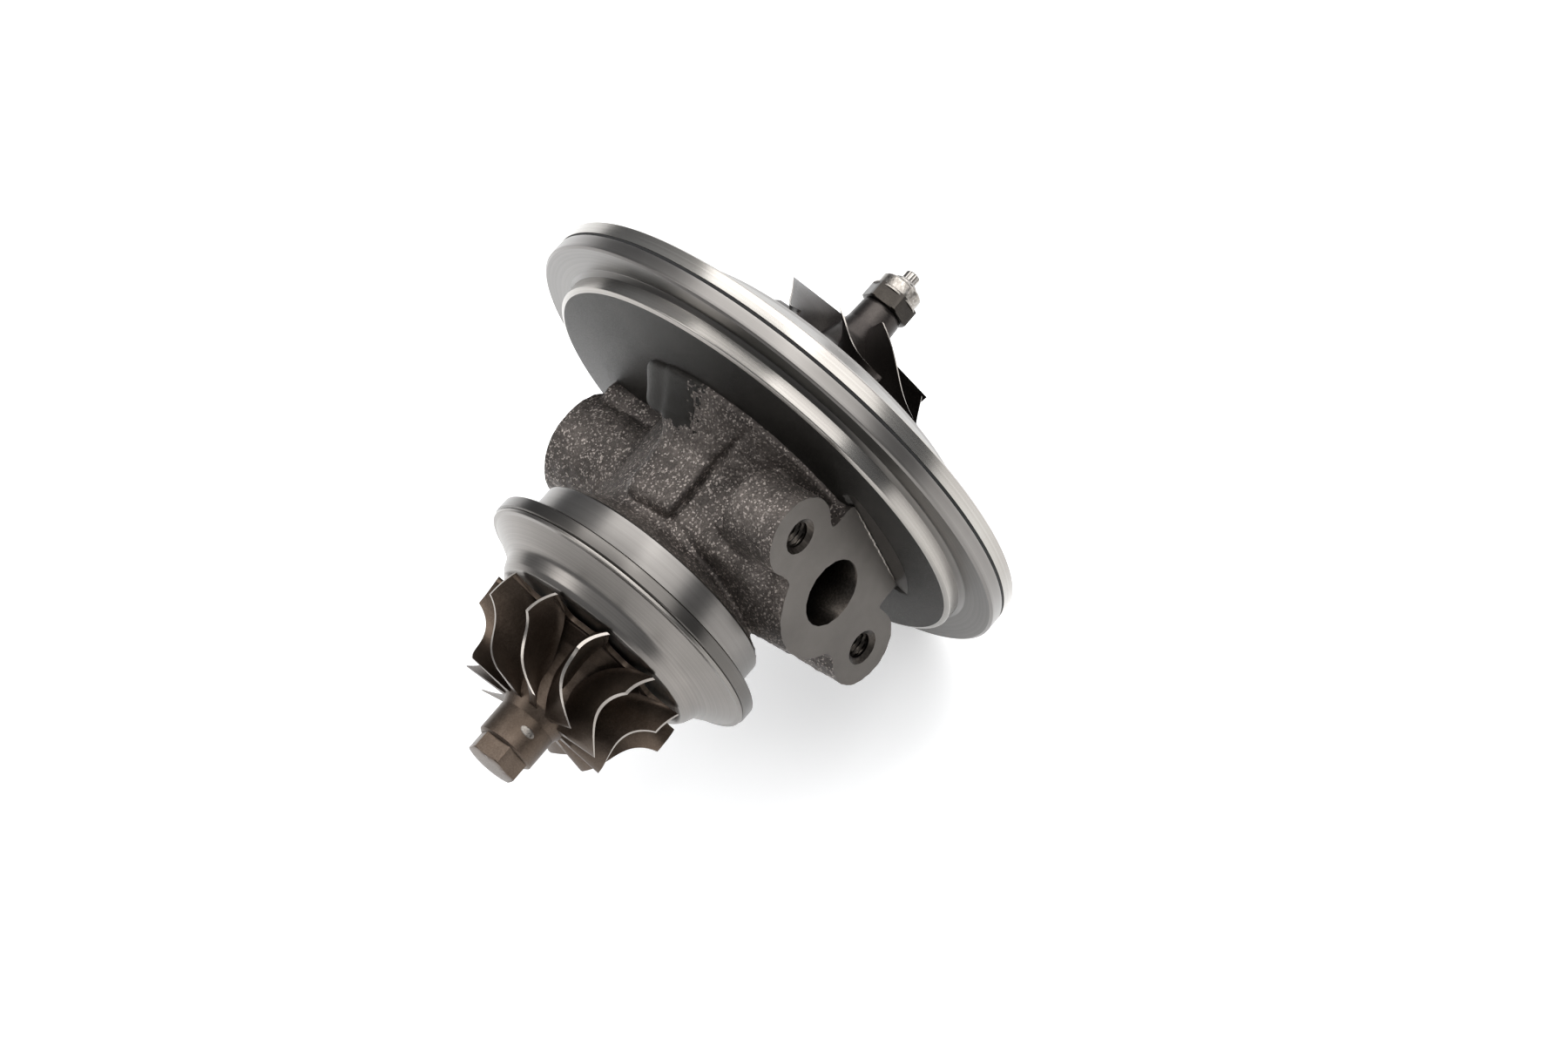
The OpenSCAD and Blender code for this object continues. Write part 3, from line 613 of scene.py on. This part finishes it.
def loops_on_plane(bm, axis, level):
    """The loops of open edges that lie on a plane, each a list of points in order."""
    edges = [e for e in bm.edges if e.is_boundary and all(abs(v.co[axis] - level) < 1e-4 for v in e.verts)]
    left = set(edges)
    loops = []
    for edge in edges:
        if edge not in left:
            continue
        left.discard(edge)
        loop = list(edge.verts)
        for end in (-1, 0):
            while loop[0] != loop[-1]:
                step = next((e for e in loop[end].link_edges if e in left), None)
                if step is None:
                    break
                left.discard(step)
                loop.insert(len(loop) if end else 0, step.other_vert(loop[end]))
        if loop[0] == loop[-1]:
            loop.pop()
        if len(loop) > 8:
            loops.append(loop)
    return loops


def fill_face(bm, loop, holes, axis, mark):
    """Fills a flat loop of points, leaving out the round holes, each a (centre, radius)."""
    across = [k for k in range(3) if k != axis]
    verts = list(loop)
    edges = [(k, (k + 1) % len(loop)) for k in range(len(loop))]
    outline = [v.co.copy() for v in loop]
    low, high = (Vector(map(f, *outline)) for f in (min, max))
    for centre, r in holes:
        if not all(low[k] <= centre[k] <= high[k] for k in across):
            continue
        base = len(verts)
        verts += [bm.verts.new(p) for p in circle_y(*centre, r)]
        edges += [(base + k, base + (k + 1) % HOLE_SIDES) for k in range(HOLE_SIDES)]
    flat = [Vector((v.co[across[0]], v.co[across[1]])) for v in verts]
    points, _, triangles, sources, _, _ = geometry.delaunay_2d_cdt(flat, edges, [], 1, 1e-5)
    for triangle in triangles:
        corners = [sources[i][0] if sources[i] else None for i in triangle]
        middle = sum((points[i] for i in triangle), Vector((0, 0))) / 3
        # The triangles that span a hole have their middles inside it
        in_hole = any(hypot(middle[0] - c[across[0]], middle[1] - c[across[1]]) < r * 0.985
                      for c, r in holes)
        if None in corners or len(set(corners)) < 3 or in_hole:
            continue
        if not bm.faces.get([verts[i] for i in corners]):
            bm.faces.new([verts[i] for i in corners]).material_index = mark


def circle_y(x, y, z, r):
    """The points of a hole's edge, in a plane across Y."""
    angles = [2 * pi * k / HOLE_SIDES for k in range(HOLE_SIDES)]
    return [Vector((x + r * cos(a), y, z + r * sin(a))) for a in angles]


def ring_faces(rings, count, tip):
    """Faces between rings of count points that follow each other, and from the last to the point tip."""
    faces = []
    for i in range(rings - 1):
        a, b = i * count, (i + 1) * count
        faces += [(a + k, a + (k + 1) % count, b + (k + 1) % count, b + k) for k in range(count)]
    last = (rings - 1) * count
    return faces + [(last + k, last + (k + 1) % count, tip) for k in range(count)]


def tube_y(x, z, rings):
    """A bore along Y: rings is a list of (place along Y, radius); the last ring is closed."""
    points = [tuple(p) for y, r in rings for p in circle_y(x, y, z, r)]
    points.append((x, rings[-1][0], z))
    return points, ring_faces(len(rings), HOLE_SIDES, len(points) - 1)


def thread_y(x, z, face_y, sign, mouth_r, core_r, pitch, depth, mouth=1.0):
    """A tapped hole along Y with its countersink. sign is +1 where the hole runs towards +Y."""
    groove = 0.55 * pitch
    steps = 8
    rows = int(depth / pitch * steps) + 1
    points = [tuple(p) for p in circle_y(x, face_y, z, mouth_r)]
    for i in range(rows):
        y = mouth * 0.75 + i * pitch / steps
        for k in range(HOLE_SIDES):
            wave = abs(2 * ((i / steps + k / HOLE_SIDES) % 1.0) - 1)
            r = core_r + groove * wave * min(1.0, i / steps)
            a = 2 * pi * k / HOLE_SIDES
            points.append((x + r * cos(a), face_y + sign * y, z + r * sin(a)))
    # The drill's cone at the bottom
    end_y = face_y + sign * (mouth * 0.75 + (rows - 1) * pitch / steps + core_r * 0.6)
    points.append((x, end_y, z))
    return points, ring_faces(rows + 1, HOLE_SIDES, len(points) - 1)


def on_lobe(points):
    """1 for points on the smooth lobes beside the inlet, 0 on the rough casting, sliding between."""
    x, y, z = points[:, 0], points[:, 1], np.abs(points[:, 2])
    turn, r = np.degrees(np.arctan2(z, y)), np.hypot(y, z)
    past_body = np.clip((r - 22.0) / 2.5, 0, 1) * np.clip((z - 15.5) / 1.5, 0, 1)
    return past_body * np.clip((102 - turn) / 14, 0, 1) * np.clip((x + 18.0) / 3, 0, 1)


def rough_casting():
    """The housing's rough body, cut at its machined faces, with the faces, the bores and the threads."""
    f = casting_field()
    points, faces = f.surface()
    # The sand mould's grain moves each point along the field's slope; the lobes are smooth
    slope = np.stack(np.gradient(f.value, f.step), -1)
    cell = np.clip(np.round((points - f.low) / f.step).astype(int), 0, np.array(f.value.shape) - 1)
    outward = slope[cell[:, 0], cell[:, 1], cell[:, 2]]
    outward /= np.maximum(np.linalg.norm(outward, axis=1, keepdims=True), 1e-6)
    # Height and size in mm of the coarse grain, the fine grain and the mould's slow waves
    coarse = 0.13 * value_noise(points, 1.3, SEED)
    fine = 0.08 * value_noise(points, 0.7, SEED + 1)
    waves = 0.16 * value_noise(points, 6.0, SEED + 2)
    points = points + outward * ((coarse + fine + waves) * (1 - on_lobe(points)))[:, None]

    mesh = bpy.data.meshes.new("cast_body")
    mesh.from_pydata(points.tolist(), [], faces.tolist())
    bm = bmesh.new()
    bm.from_mesh(mesh)
    bpy.data.meshes.remove(mesh)
    bmesh.ops.recalc_face_normals(bm, faces=bm.faces)
    rough, milled, drilled, smooth = range(4)
    # The rough finish thins out towards the lobes in specks
    middles = np.array([face.calc_center_median()[:] for face in bm.faces])
    on_smooth = on_lobe(middles) > 0.5 + 0.45 * value_noise(middles, 0.6, SEED + 3)
    for face, is_smooth in zip(bm.faces, on_smooth):
        face.material_index = smooth if is_smooth else rough
    for axis, level, sign in ((0, BAND_CUT_X, -1), (0, DISC_CUT_X, 1), (1, DRAIN_Y, -1), (1, INLET_Y, 1)):
        co, no = Vector((0, 0, 0)), Vector((0, 0, 0))
        co[axis], no[axis] = level, sign
        bmesh.ops.bisect_plane(bm, geom=bm.verts[:] + bm.edges[:] + bm.faces[:], dist=1e-5,
                               plane_co=co, plane_no=no, clear_outer=True)
    drain_holes = [((PORT_X, DRAIN_Y, 0), PORT_MOUTH_R)]
    drain_holes += [((PORT_X, DRAIN_Y, side * BOLT_Z), BOLT_MOUTH_R) for side in (-1, 1)]
    inlet_holes = [((PORT_X, INLET_Y, 0), INLET_MOUTH_R)]
    bm.verts.ensure_lookup_table()
    for axis, level, holes, mark in ((0, BAND_CUT_X, (), rough), (0, DISC_CUT_X, (), rough),
                                     (1, DRAIN_Y, drain_holes, milled), (1, INLET_Y, inlet_holes, milled)):
        for loop in loops_on_plane(bm, axis, level):
            fill_face(bm, loop, holes, axis, mark)
    mesh = bpy.data.meshes.new("cast_body")
    bm.to_mesh(mesh)
    bm.free()
    base_points = [tuple(v.co) for v in mesh.vertices]
    base_faces = [tuple(p.vertices) for p in mesh.polygons]
    base_marks = [p.material_index for p in mesh.polygons]
    bpy.data.meshes.remove(mesh)

    port = tube_y(PORT_X, 0, [(DRAIN_Y, PORT_MOUTH_R), (DRAIN_Y + 0.25, PORT_R), (-20, PORT_R),
                              (-14, PORT_R), (-9, PORT_R - 1.5)])
    # M6 x 1 for the drain's two bolts, and M12 x 1.5 for the inlet
    bolts = [thread_y(PORT_X, side * BOLT_Z, DRAIN_Y, 1, BOLT_MOUTH_R, 2.5, 1.0, 8.4) for side in (-1, 1)]
    inlet = thread_y(PORT_X, 0, INLET_Y, -1, INLET_MOUTH_R, 5.25, 1.5, 12, 1.2)
    bores = join(port, *bolts, inlet)
    points, faces = join((base_points, base_faces), bores)
    # The bores' walls take the dark drilled iron: painted shade
    marks = base_marks + [drilled] * len(bores[1])
    mesh_piece("cast_body", points, faces, HOUSING,
               [cast_iron, milled_iron, shaded_drilled_iron, dish_iron], 50, marks)


def flange_burr():
    """The thin bright burr that milling the recess left along the drain flange's edge."""
    steps = 72
    z0, z1 = -13.4, 12.0
    points = []
    for k in range(steps + 1):
        z = z0 + (z1 - z0) * k / steps
        # It grows from nothing at both ends, and wanders and swells along its length
        grow = sin(pi * k / steps) ** 0.3 if 0 < k < steps else 0.0
        edge = STEP_X + 0.05 * sin(2.1 * z) + 0.04 * sin(5.3 * z + 1)
        proud = (0.30 + 0.08 * sin(3.1 * z)) * grow
        points += [(edge - 0.32 * grow, DRAIN_Y + 0.1, z), (edge - 0.1, DRAIN_Y - proud, z),
                   (edge + 0.1, DRAIN_Y + 0.1, z)]
    faces = [(3 * k + i, 3 * k + (i + 1) % 3, 3 * k + 3 + (i + 1) % 3, 3 * k + 3 + i)
             for k in range(steps) for i in range(3)]
    faces += [(0, 1, 2), (3 * steps, 3 * steps + 1, 3 * steps + 2)]
    mesh_piece("flange_burr", points, faces, HOUSING, [ground_edge], 30)


rough_casting()
flange_burr()


# ---------------------------------------------------------------- the housing's turned pieces

def disc():
    """The compressor back plate, cast in one with the housing: dish, step, faced ring and grooved rim."""
    w, r, floor_r = RIM_HALF, RIM_R, RIM_R - GROOVE_DEPTH
    slope = [(-9.55 + 0.2027 * (radius - 32.5), radius) for radius in np.arange(33.3, 42.5, 0.4).tolist()]
    dish = [(-6.0, 16), (-10.9, 16), (-10.6, 24, 2), (-9.55, 32.5, 4), *slope, (-7.3, 43.6, 1.5)]
    step = [(-7.1, 44.6, 0.4), (-6.7, 45.5, 0.3), (-4.15, 45.6, 0.2), (-3.3, 46.4, 0.35)]
    rim = [(-w, r - 0.55), (-w + 0.35, r, 0.2), (-0.31, r, 0.06), (-0.28, floor_r), (0.28, floor_r),
           (0.31, r, 0.06), (w - 0.4, r, 0.15), (w, r - 0.5, 0.1)]
    far_side = [(w, r - 4, 0.4), (w + 1, r - 5, 0.5), (9, 36, 1.0), (10, 34.5, 0.6), (10, 21.6, 0.1),
                (9.4, 21), (1, 21), (1, 18.5), (-6, 18.5)]
    profile = rounded(dish + step + rim + far_side)
    points, faces = turned(profile, 384)
    # The recess milled into the dish beside the drain flange
    floor_x = STEP_X + 0.05
    in_recess = set()
    for i, (x, y, z) in enumerate(points):
        if x < -7.0 and y < DRAIN_Y + 0.6 and abs(z) < 0.5 * abs(y) and hypot(y, z) < 43:
            points[i] = (max(x, floor_x), y, z)
            if x < floor_x:
                in_recess.add(i)
    bright, faced, cast, milled, shaded = range(5)
    rows = len(profile)
    marks = []
    for k, face in enumerate(faces):
        here, after = profile[k % rows], profile[(k % rows + 1) % rows]
        x, radius = (here[0] + after[0]) / 2, (here[1] + after[1]) / 2
        if in_recess.issuperset(face):
            marks.append(milled)
        elif x < -6.8 and radius < 44.5:
            marks.append(cast)
        # The step's face takes the darker copy of turned iron: painted shade
        elif 45.6 < radius < r - 0.5 and x < -w + 0.05:
            marks.append(shaded)
        elif radius > r - 1.2 and -0.35 < x < w + 0.01 or (radius > 44 and x < -4):
            marks.append(bright)
        else:
            marks.append(faced)
    mesh_piece("back_plate", points, faces, HOUSING,
               [turned_iron, faced_iron, dish_iron, milled_iron, shaded_turned_iron], 35, marks)


def turbine_flange():
    """The turned band and flange at the turbine end, with the undercut between them."""
    undercut_r, chamfer_r = BAND_R - 0.35, FLANGE_R - 0.35
    band = [(BAND_END_X, 21.5), (BAND_END_X, 24.1, 0.15), (-36.1, BAND_R, 0.15), (-42.2, BAND_R, 0.05),
            (-42.25, undercut_r), (FLANGE_BACK_X, undercut_r)]
    flange = [(FLANGE_BACK_X, chamfer_r, 0.2), (-42.8, FLANGE_R, 0.1), (-44.95, FLANGE_R, 0.1),
              (FLANGE_X, chamfer_r, 0.1), (FLANGE_X, 12), (-43.2, 12), (-43.2, 21.5)]
    profile = rounded(band + flange, 4)
    points, faces = turned(profile, 320)
    # The band is satin; the flange takes the darker copy of turned iron, painted shade
    satin, shaded = range(2)
    marks = [shaded if profile[k % len(profile)][0] < -42.3 else satin for k in range(len(faces))]
    mesh_piece("turbine_flange", points, faces, HOUSING, [faced_iron, shaded_turned_iron], 35, marks)


disc()
turbine_flange()


def heat_shield():
    """Pressed stainless sheet: rolled brim, cone, cup wall and flat crown round the wheel's back."""
    outside = [(-45.25, 28.9, 0.2), (-46.0, 28.9, 0.25), (-46.15, 28.0, 0.6), (-49.4, 22.6, 2.2),
               (-51.8, 21.5, 1.2), (-52.75, 20.7, 0.8), (-53.0, 19.6, 0.4), (-53.0, 9.6, 0.2)]
    inside = [(-52.2, 9.6, 0.1), (-52.2, 19.4, 0.3), (-51.9, 19.9, 0.4), (-51.2, 20.6, 0.6),
              (-48.9, 21.7, 1.5), (-45.35, 27.6, 0.4), (-45.25, 27.9)]
    points, faces = turned(rounded(outside + inside), 320)
    mesh_piece("heat_shield_sheet", points, faces, SHIELD, [shield_steel], 35)


heat_shield()


# ---------------------------------------------------------------- blades

def cubic(a, b, c, d, t):
    """The value at t of a cubic curve with four control values."""
    u = 1 - t
    return u ** 3 * a + 3 * t * u * u * b + 3 * t * t * u * c + t ** 3 * d


def curve(p, t):
    """A point, (x, radius), of the cubic curve with four such control points."""
    return tuple(cubic(*(corner[i] for corner in p), t) for i in (0, 1))


def blade(hub, shroud, wrap, root, tip, t_start, chords, spans, flare):
    """One blade as points, faces and marks: 0 on its sides, 1 on its ground outer edges. root and
    tip are its thickness there, and flare is what the fillet adds at the hub."""
    points, faces, marks = [], [], []
    rows = spans + 1
    sides, edges = 0, 1
    for sign in (1, -1):
        for i in range(chords + 1):
            t = t_start + (1 - t_start) * i / chords
            h, s = curve(hub, t), curve(shroud, t)
            # The leading edge is thin, and the blade reaches its full thickness soon after it
            body = min(1.0, i / chords / 0.18)
            for j in range(rows):
                v = j / spans
                x, r = (h[k] + (s[k] - h[k]) * v for k in (0, 1))
                half = (tip + ((root - tip) * (1 - v) + flare * 2.718 ** (-v / 0.07)) * body) / 2
                points.append(around(x, r, radians(wrap(x, t)) + sign * half / r))
    side = (chords + 1) * rows

    def at(k, i, j):
        return k * side + i * rows + j

    for i in range(chords):
        for j in range(spans):
            faces.append((at(0, i, j), at(0, i + 1, j), at(0, i + 1, j + 1), at(0, i, j + 1)))
            faces.append((at(1, i, j), at(1, i, j + 1), at(1, i + 1, j + 1), at(1, i + 1, j)))
            marks += [sides, sides]
        faces.append((at(0, i, spans), at(0, i + 1, spans), at(1, i + 1, spans), at(1, i, spans)))
        faces.append((at(0, i, 0), at(1, i, 0), at(1, i + 1, 0), at(0, i + 1, 0)))
        marks += [edges, sides]
    for j in range(spans):
        faces.append((at(0, 0, j), at(0, 0, j + 1), at(1, 0, j + 1), at(1, 0, j)))
        faces.append((at(0, chords, j), at(1, chords, j), at(1, chords, j + 1), at(0, chords, j + 1)))
        marks += [edges, sides]
    return points, faces, marks


def turn_points(points, angle):
    """The points turned about the shaft by an angle in radians."""
    c, s = cos(angle), sin(angle)
    return [(x, y * c - z * s, y * s + z * c) for x, y, z in points]


def turbine_wrap(x, t):
    """The blade's angle about the shaft at x, in degrees: it bends back to the wheel's back, and
    towards the nose it curls more and more."""
    u = TURBINE_TIP_X - x
    return TURBINE_ANGLE + (0.0266 * u ** 3 if u > 0 else 0.206 * u * u)


def scalloped_disc():
    """The turbine's back disc, cut back in an arc between each two blades, thicker at its middle."""
    rings, per_blade, hub_r, thick = 14, 24, 7.5, 0.95
    count = TURBINE_BLADES * per_blade
    start = radians(turbine_wrap(TURBINE_BACK_X, 0))
    points, faces = [], []
    for face_x, lean in ((TURBINE_BACK_X, 0.0), (TURBINE_BACK_X - thick, -1.4)):
        for i in range(rings + 1):
            for k in range(count):
                # 1 at a blade, 0 halfway to the next one
                phase = abs(((k / per_blade) % 1) - 0.5) * 2
                outer = 14.6 + 6.5 * phase ** 5
                r = hub_r + (outer - hub_r) * i / rings
                swell = lean * max(0.0, (13 - r) / 5.5) ** 1.6
                points.append(around(face_x + swell, r, start + 2 * pi * k / count))
    layer = (rings + 1) * count
    for i in range(rings):
        for k in range(count):
            j = (k + 1) % count
            a, b, c, d = i * count + k, i * count + j, (i + 1) * count + j, (i + 1) * count + k
            faces += [(a, b, c, d), (layer + a, layer + d, layer + c, layer + b)]
    for k in range(count):
        j = (k + 1) % count
        for base in (0, rings * count):
            faces.append((base + k, base + j, layer + base + j, layer + base + k))
    return points, faces


def turbine_wheel():
    """The turbine wheel: hub, scalloped back disc, eleven blades and the nose's round part."""
    hub = rounded([(-49.5, 0), (-49.5, 7.9), (-53.0, 7.9, 0.2), (-53.6, 8.6, 0.2), (-53.6, 13.2, 0.3),
                   (-54.6, 13.2, 0.8), (-55.6, 11.6, 1.5), (-57.0, 9.9, 2), (-59.2, 8.5, 3),
                   (-63.1, 7.4, 4), (-68.6, 6.75, 1.5), (-70.2, 6.1, 1.0), (-70.9, NOSE_R, 0.6),
                   (-77.1, NOSE_R, 0.12), (-77.5, 5.3, 0.1), (-77.55, 4.0), (-77.55, 0)])
    parts = [turned(hub, 160), scalloped_disc()]
    marks = [0] * sum(len(faces) for _, faces in parts)
    hub_curve = ((TURBINE_BACK_X, 21.2), (-54.3, 12.5), (-58.5, 7.2), (-69.3, 5.6))
    shroud_curve = ((TURBINE_TIP_X, 21.2), (-60.6, 17.0), (-64.0, 15.4), (-69.5, 15.6))
    p, f, m = blade(hub_curve, shroud_curve, turbine_wrap, 1.5, 0.64, 0.0, 36, 20, 1.6)
    for k in range(TURBINE_BLADES):
        parts.append((turn_points(p, 2 * pi / TURBINE_BLADES * k), f))
        marks += m
    points, faces = join(*parts)
    mesh_piece("turbine_wheel_casting", points, faces, TURBINE, [turbine_alloy, ground_edge], 40, marks)


def hexagon(x0, x1, corner_r, first, chamfer, domed):
    """A hexagonal bar along X with broken corners, and the end at x1 chamfered and slightly domed."""
    sign = 1 if x1 > x0 else -1
    flat = corner_r * cos(pi / 6)
    broken_r = corner_r - 0.12
    count = 48
    points = []
    for x, limit in ((x0, broken_r), (x1 - sign * chamfer * 0.6, broken_r),
                     (x1 - sign * chamfer * 0.25, flat + (corner_r - flat) * 0.45),
                     (x1, flat - 0.12), (x1 + sign * domed, flat * 0.6)):
        for k in range(count):
            a = 2 * pi * k / count
            from_corner = (a + pi / 6) % (pi / 3) - pi / 6
            r = min(flat / cos(pi / 6 - abs(from_corner)), limit)
            points.append(around(x, r, a + first))
    points += [(x1 + sign * domed * 1.5, 0, 0), (x0, 0, 0)]
    faces = ring_faces(5, count, len(points) - 2)
    return points, faces + [(k, (k + 1) % count, len(points) - 1) for k in range(count)]


def turbine_nose():
    """The hexagon on the turbine's nose, by which the shaft is held."""
    points, faces = hexagon(-77.3, -81.25, 5.5, radians(12), 0.5, 0.08)
    mesh_piece("turbine_nose_hexagon", points, faces, TURBINE, [turbine_alloy], 30)


def balance_mark():
    """The small spot ground on the nose when the rotor was balanced."""
    x, angle, half_along, half_across = -73.4, radians(137.5), 0.95, 1.9
    rings, count = 4, 40
    points = [around(x, NOSE_R + 0.03, angle)]
    for i in range(1, rings + 1):
        # Its edge dips just under the nose
        r = NOSE_R + 0.04 if i < rings else NOSE_R - 0.1
        for k in range(count):
            a = 2 * pi * k / count
            across = i / rings * half_across * sin(a)
            points.append(around(x + i / rings * half_along * cos(a), r, angle + across / NOSE_R))
    faces = [(0, 1 + k, 1 + (k + 1) % count) for k in range(count)]
    for i in range(rings - 1):
        for k in range(count):
            j = (k + 1) % count
            a, b = 1 + i * count, 1 + (i + 1) * count
            faces.append((a + k, b + k, b + j, a + j))
    mesh_piece("nose_balance_spot", points, faces, TURBINE, [balance_ground], 60)


turbine_wheel()
turbine_nose()
balance_mark()


def compressor_wrap(x, t):
    """The blade's angle about the shaft, in degrees, at t from its leading edge to its trailing one."""
    return COMPRESSOR_ANGLE + cubic(0, 36, 35.5, 58, t)


def compressor_wheel():
    """The compressor wheel: hub and back disc, four full blades and four splitters."""
    b, nose = WHEEL_BACK_X, WHEEL_NOSE_X
    hub = rounded([(b, BORE_R), (b, EXDUCER_R, 0.1), (b + 0.8, EXDUCER_R, 0.1), (b + 1.15, 20, 6),
                   (b + 2.3, 15.2, 5), (b + 4.6, 11.0, 4), (b + 8, 7.7, 4), (b + 12, 5.5, 4), (26, 4.4, 2),
                   (29.9, WHEEL_NOSE_R, 0.2), (nose, WHEEL_NOSE_R - 0.25, 0.1), (nose, BORE_R)])
    parts = [turned(hub, 200)]
    marks = [0] * len(parts[0][1])
    hub_curve = ((25.2, 3.6), (19, 5), (12.4, 9.5), (11.3, EXDUCER_R - 0.2))
    shroud_curve = ((24.2, 16.5), (19.5, 16.6), (15.4, 18.6), (14.2, EXDUCER_R))
    pitch = 2 * pi / COMPRESSOR_BLADES
    # The splitters start later along the hub, halfway between the full blades
    for start, turn in ((0.0, 0.0), (0.2, pitch / 2)):
        p, f, m = blade(hub_curve, shroud_curve, compressor_wrap, 0.95, 0.42, start, 36, 18, 1.1)
        for k in range(COMPRESSOR_BLADES):
            parts.append((turn_points(p, pitch * k + turn), f))
            marks += m
    points, faces = join(*parts)
    mesh_piece("compressor_wheel_forging", points, faces, COMPRESSOR,
               [wheel_coat, ground_edge], 40, marks)


def lock_nut():
    """The lock nut: a black hexagon and a round collar ground bright in places by balancing."""
    points, faces = hexagon(34.3, 30.75, NUT_WIDTH / sqrt(3), radians(20), 0.5, 0.02)
    mesh_piece("lock_nut_hexagon", points, faces, NUT, [nut_oxide], 30)
    profile = rounded([(33.8, BORE_R), (33.8, 4.9, 0.1), (34.35, 4.7, 0.2), (34.5, 4.25, 0.1),
                       (36.5, 4.25, 0.3), (37.0, 3.8, 0.2), (37.0, BORE_R)])
    points, faces = turned(profile, 96)
    array = np.array(points)
    r = np.hypot(array[:, 1], array[:, 2])
    # Balancing took metal off one side of the collar, unevenly
    one_side = np.clip((np.cos(np.arctan2(array[:, 2], array[:, 1]) - radians(120)) - 0.2) * 1.5, 0, 1)
    depth = 0.11 * np.clip(value_noise(array, 2.2, SEED + 5) * 1.6, 0, 1)
    array[:, 1:] *= (1 - depth * one_side * (array[:, 0] > 34.6) * (r > 3))[:, None]
    mesh_piece("lock_nut_collar", array.tolist(), faces, NUT, [balance_ground], 40)


compressor_wheel()
lock_nut()


# ---------------------------------------------------------------- finishes of the CAD nodes that stay

FINISHES = {
    nitrile: ("rim_o_ring", "seal_plate_o_ring"),
    spring_steel: ("turbine_seal_ring", "bush_snap_rings", "seal_plate_circlip", "compressor_seal_rings"),
    plate_steel: ("oil_deflector", "seal_plate"),
    bearing_brass: ("thrust_bearing", "turbine_bush", "compressor_bush"),
    shaft_steel: ("thrust_bearing_dowels", "rotor_shaft", "thrust_washer", "thrust_collar",
                  "flinger_sleeve"),
    cast_iron: ("bearing_housing",),
    shield_steel: ("heat_shield",),
    turbine_alloy: ("turbine_wheel",),
    wheel_coat: ("compressor_wheel",),
    nut_oxide: ("lock_nut",),
}
for finish, node_names in FINISHES.items():
    for node_name in node_names:
        node_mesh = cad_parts[node_name].data
        node_mesh.materials.clear()
        node_mesh.materials.append(finish)
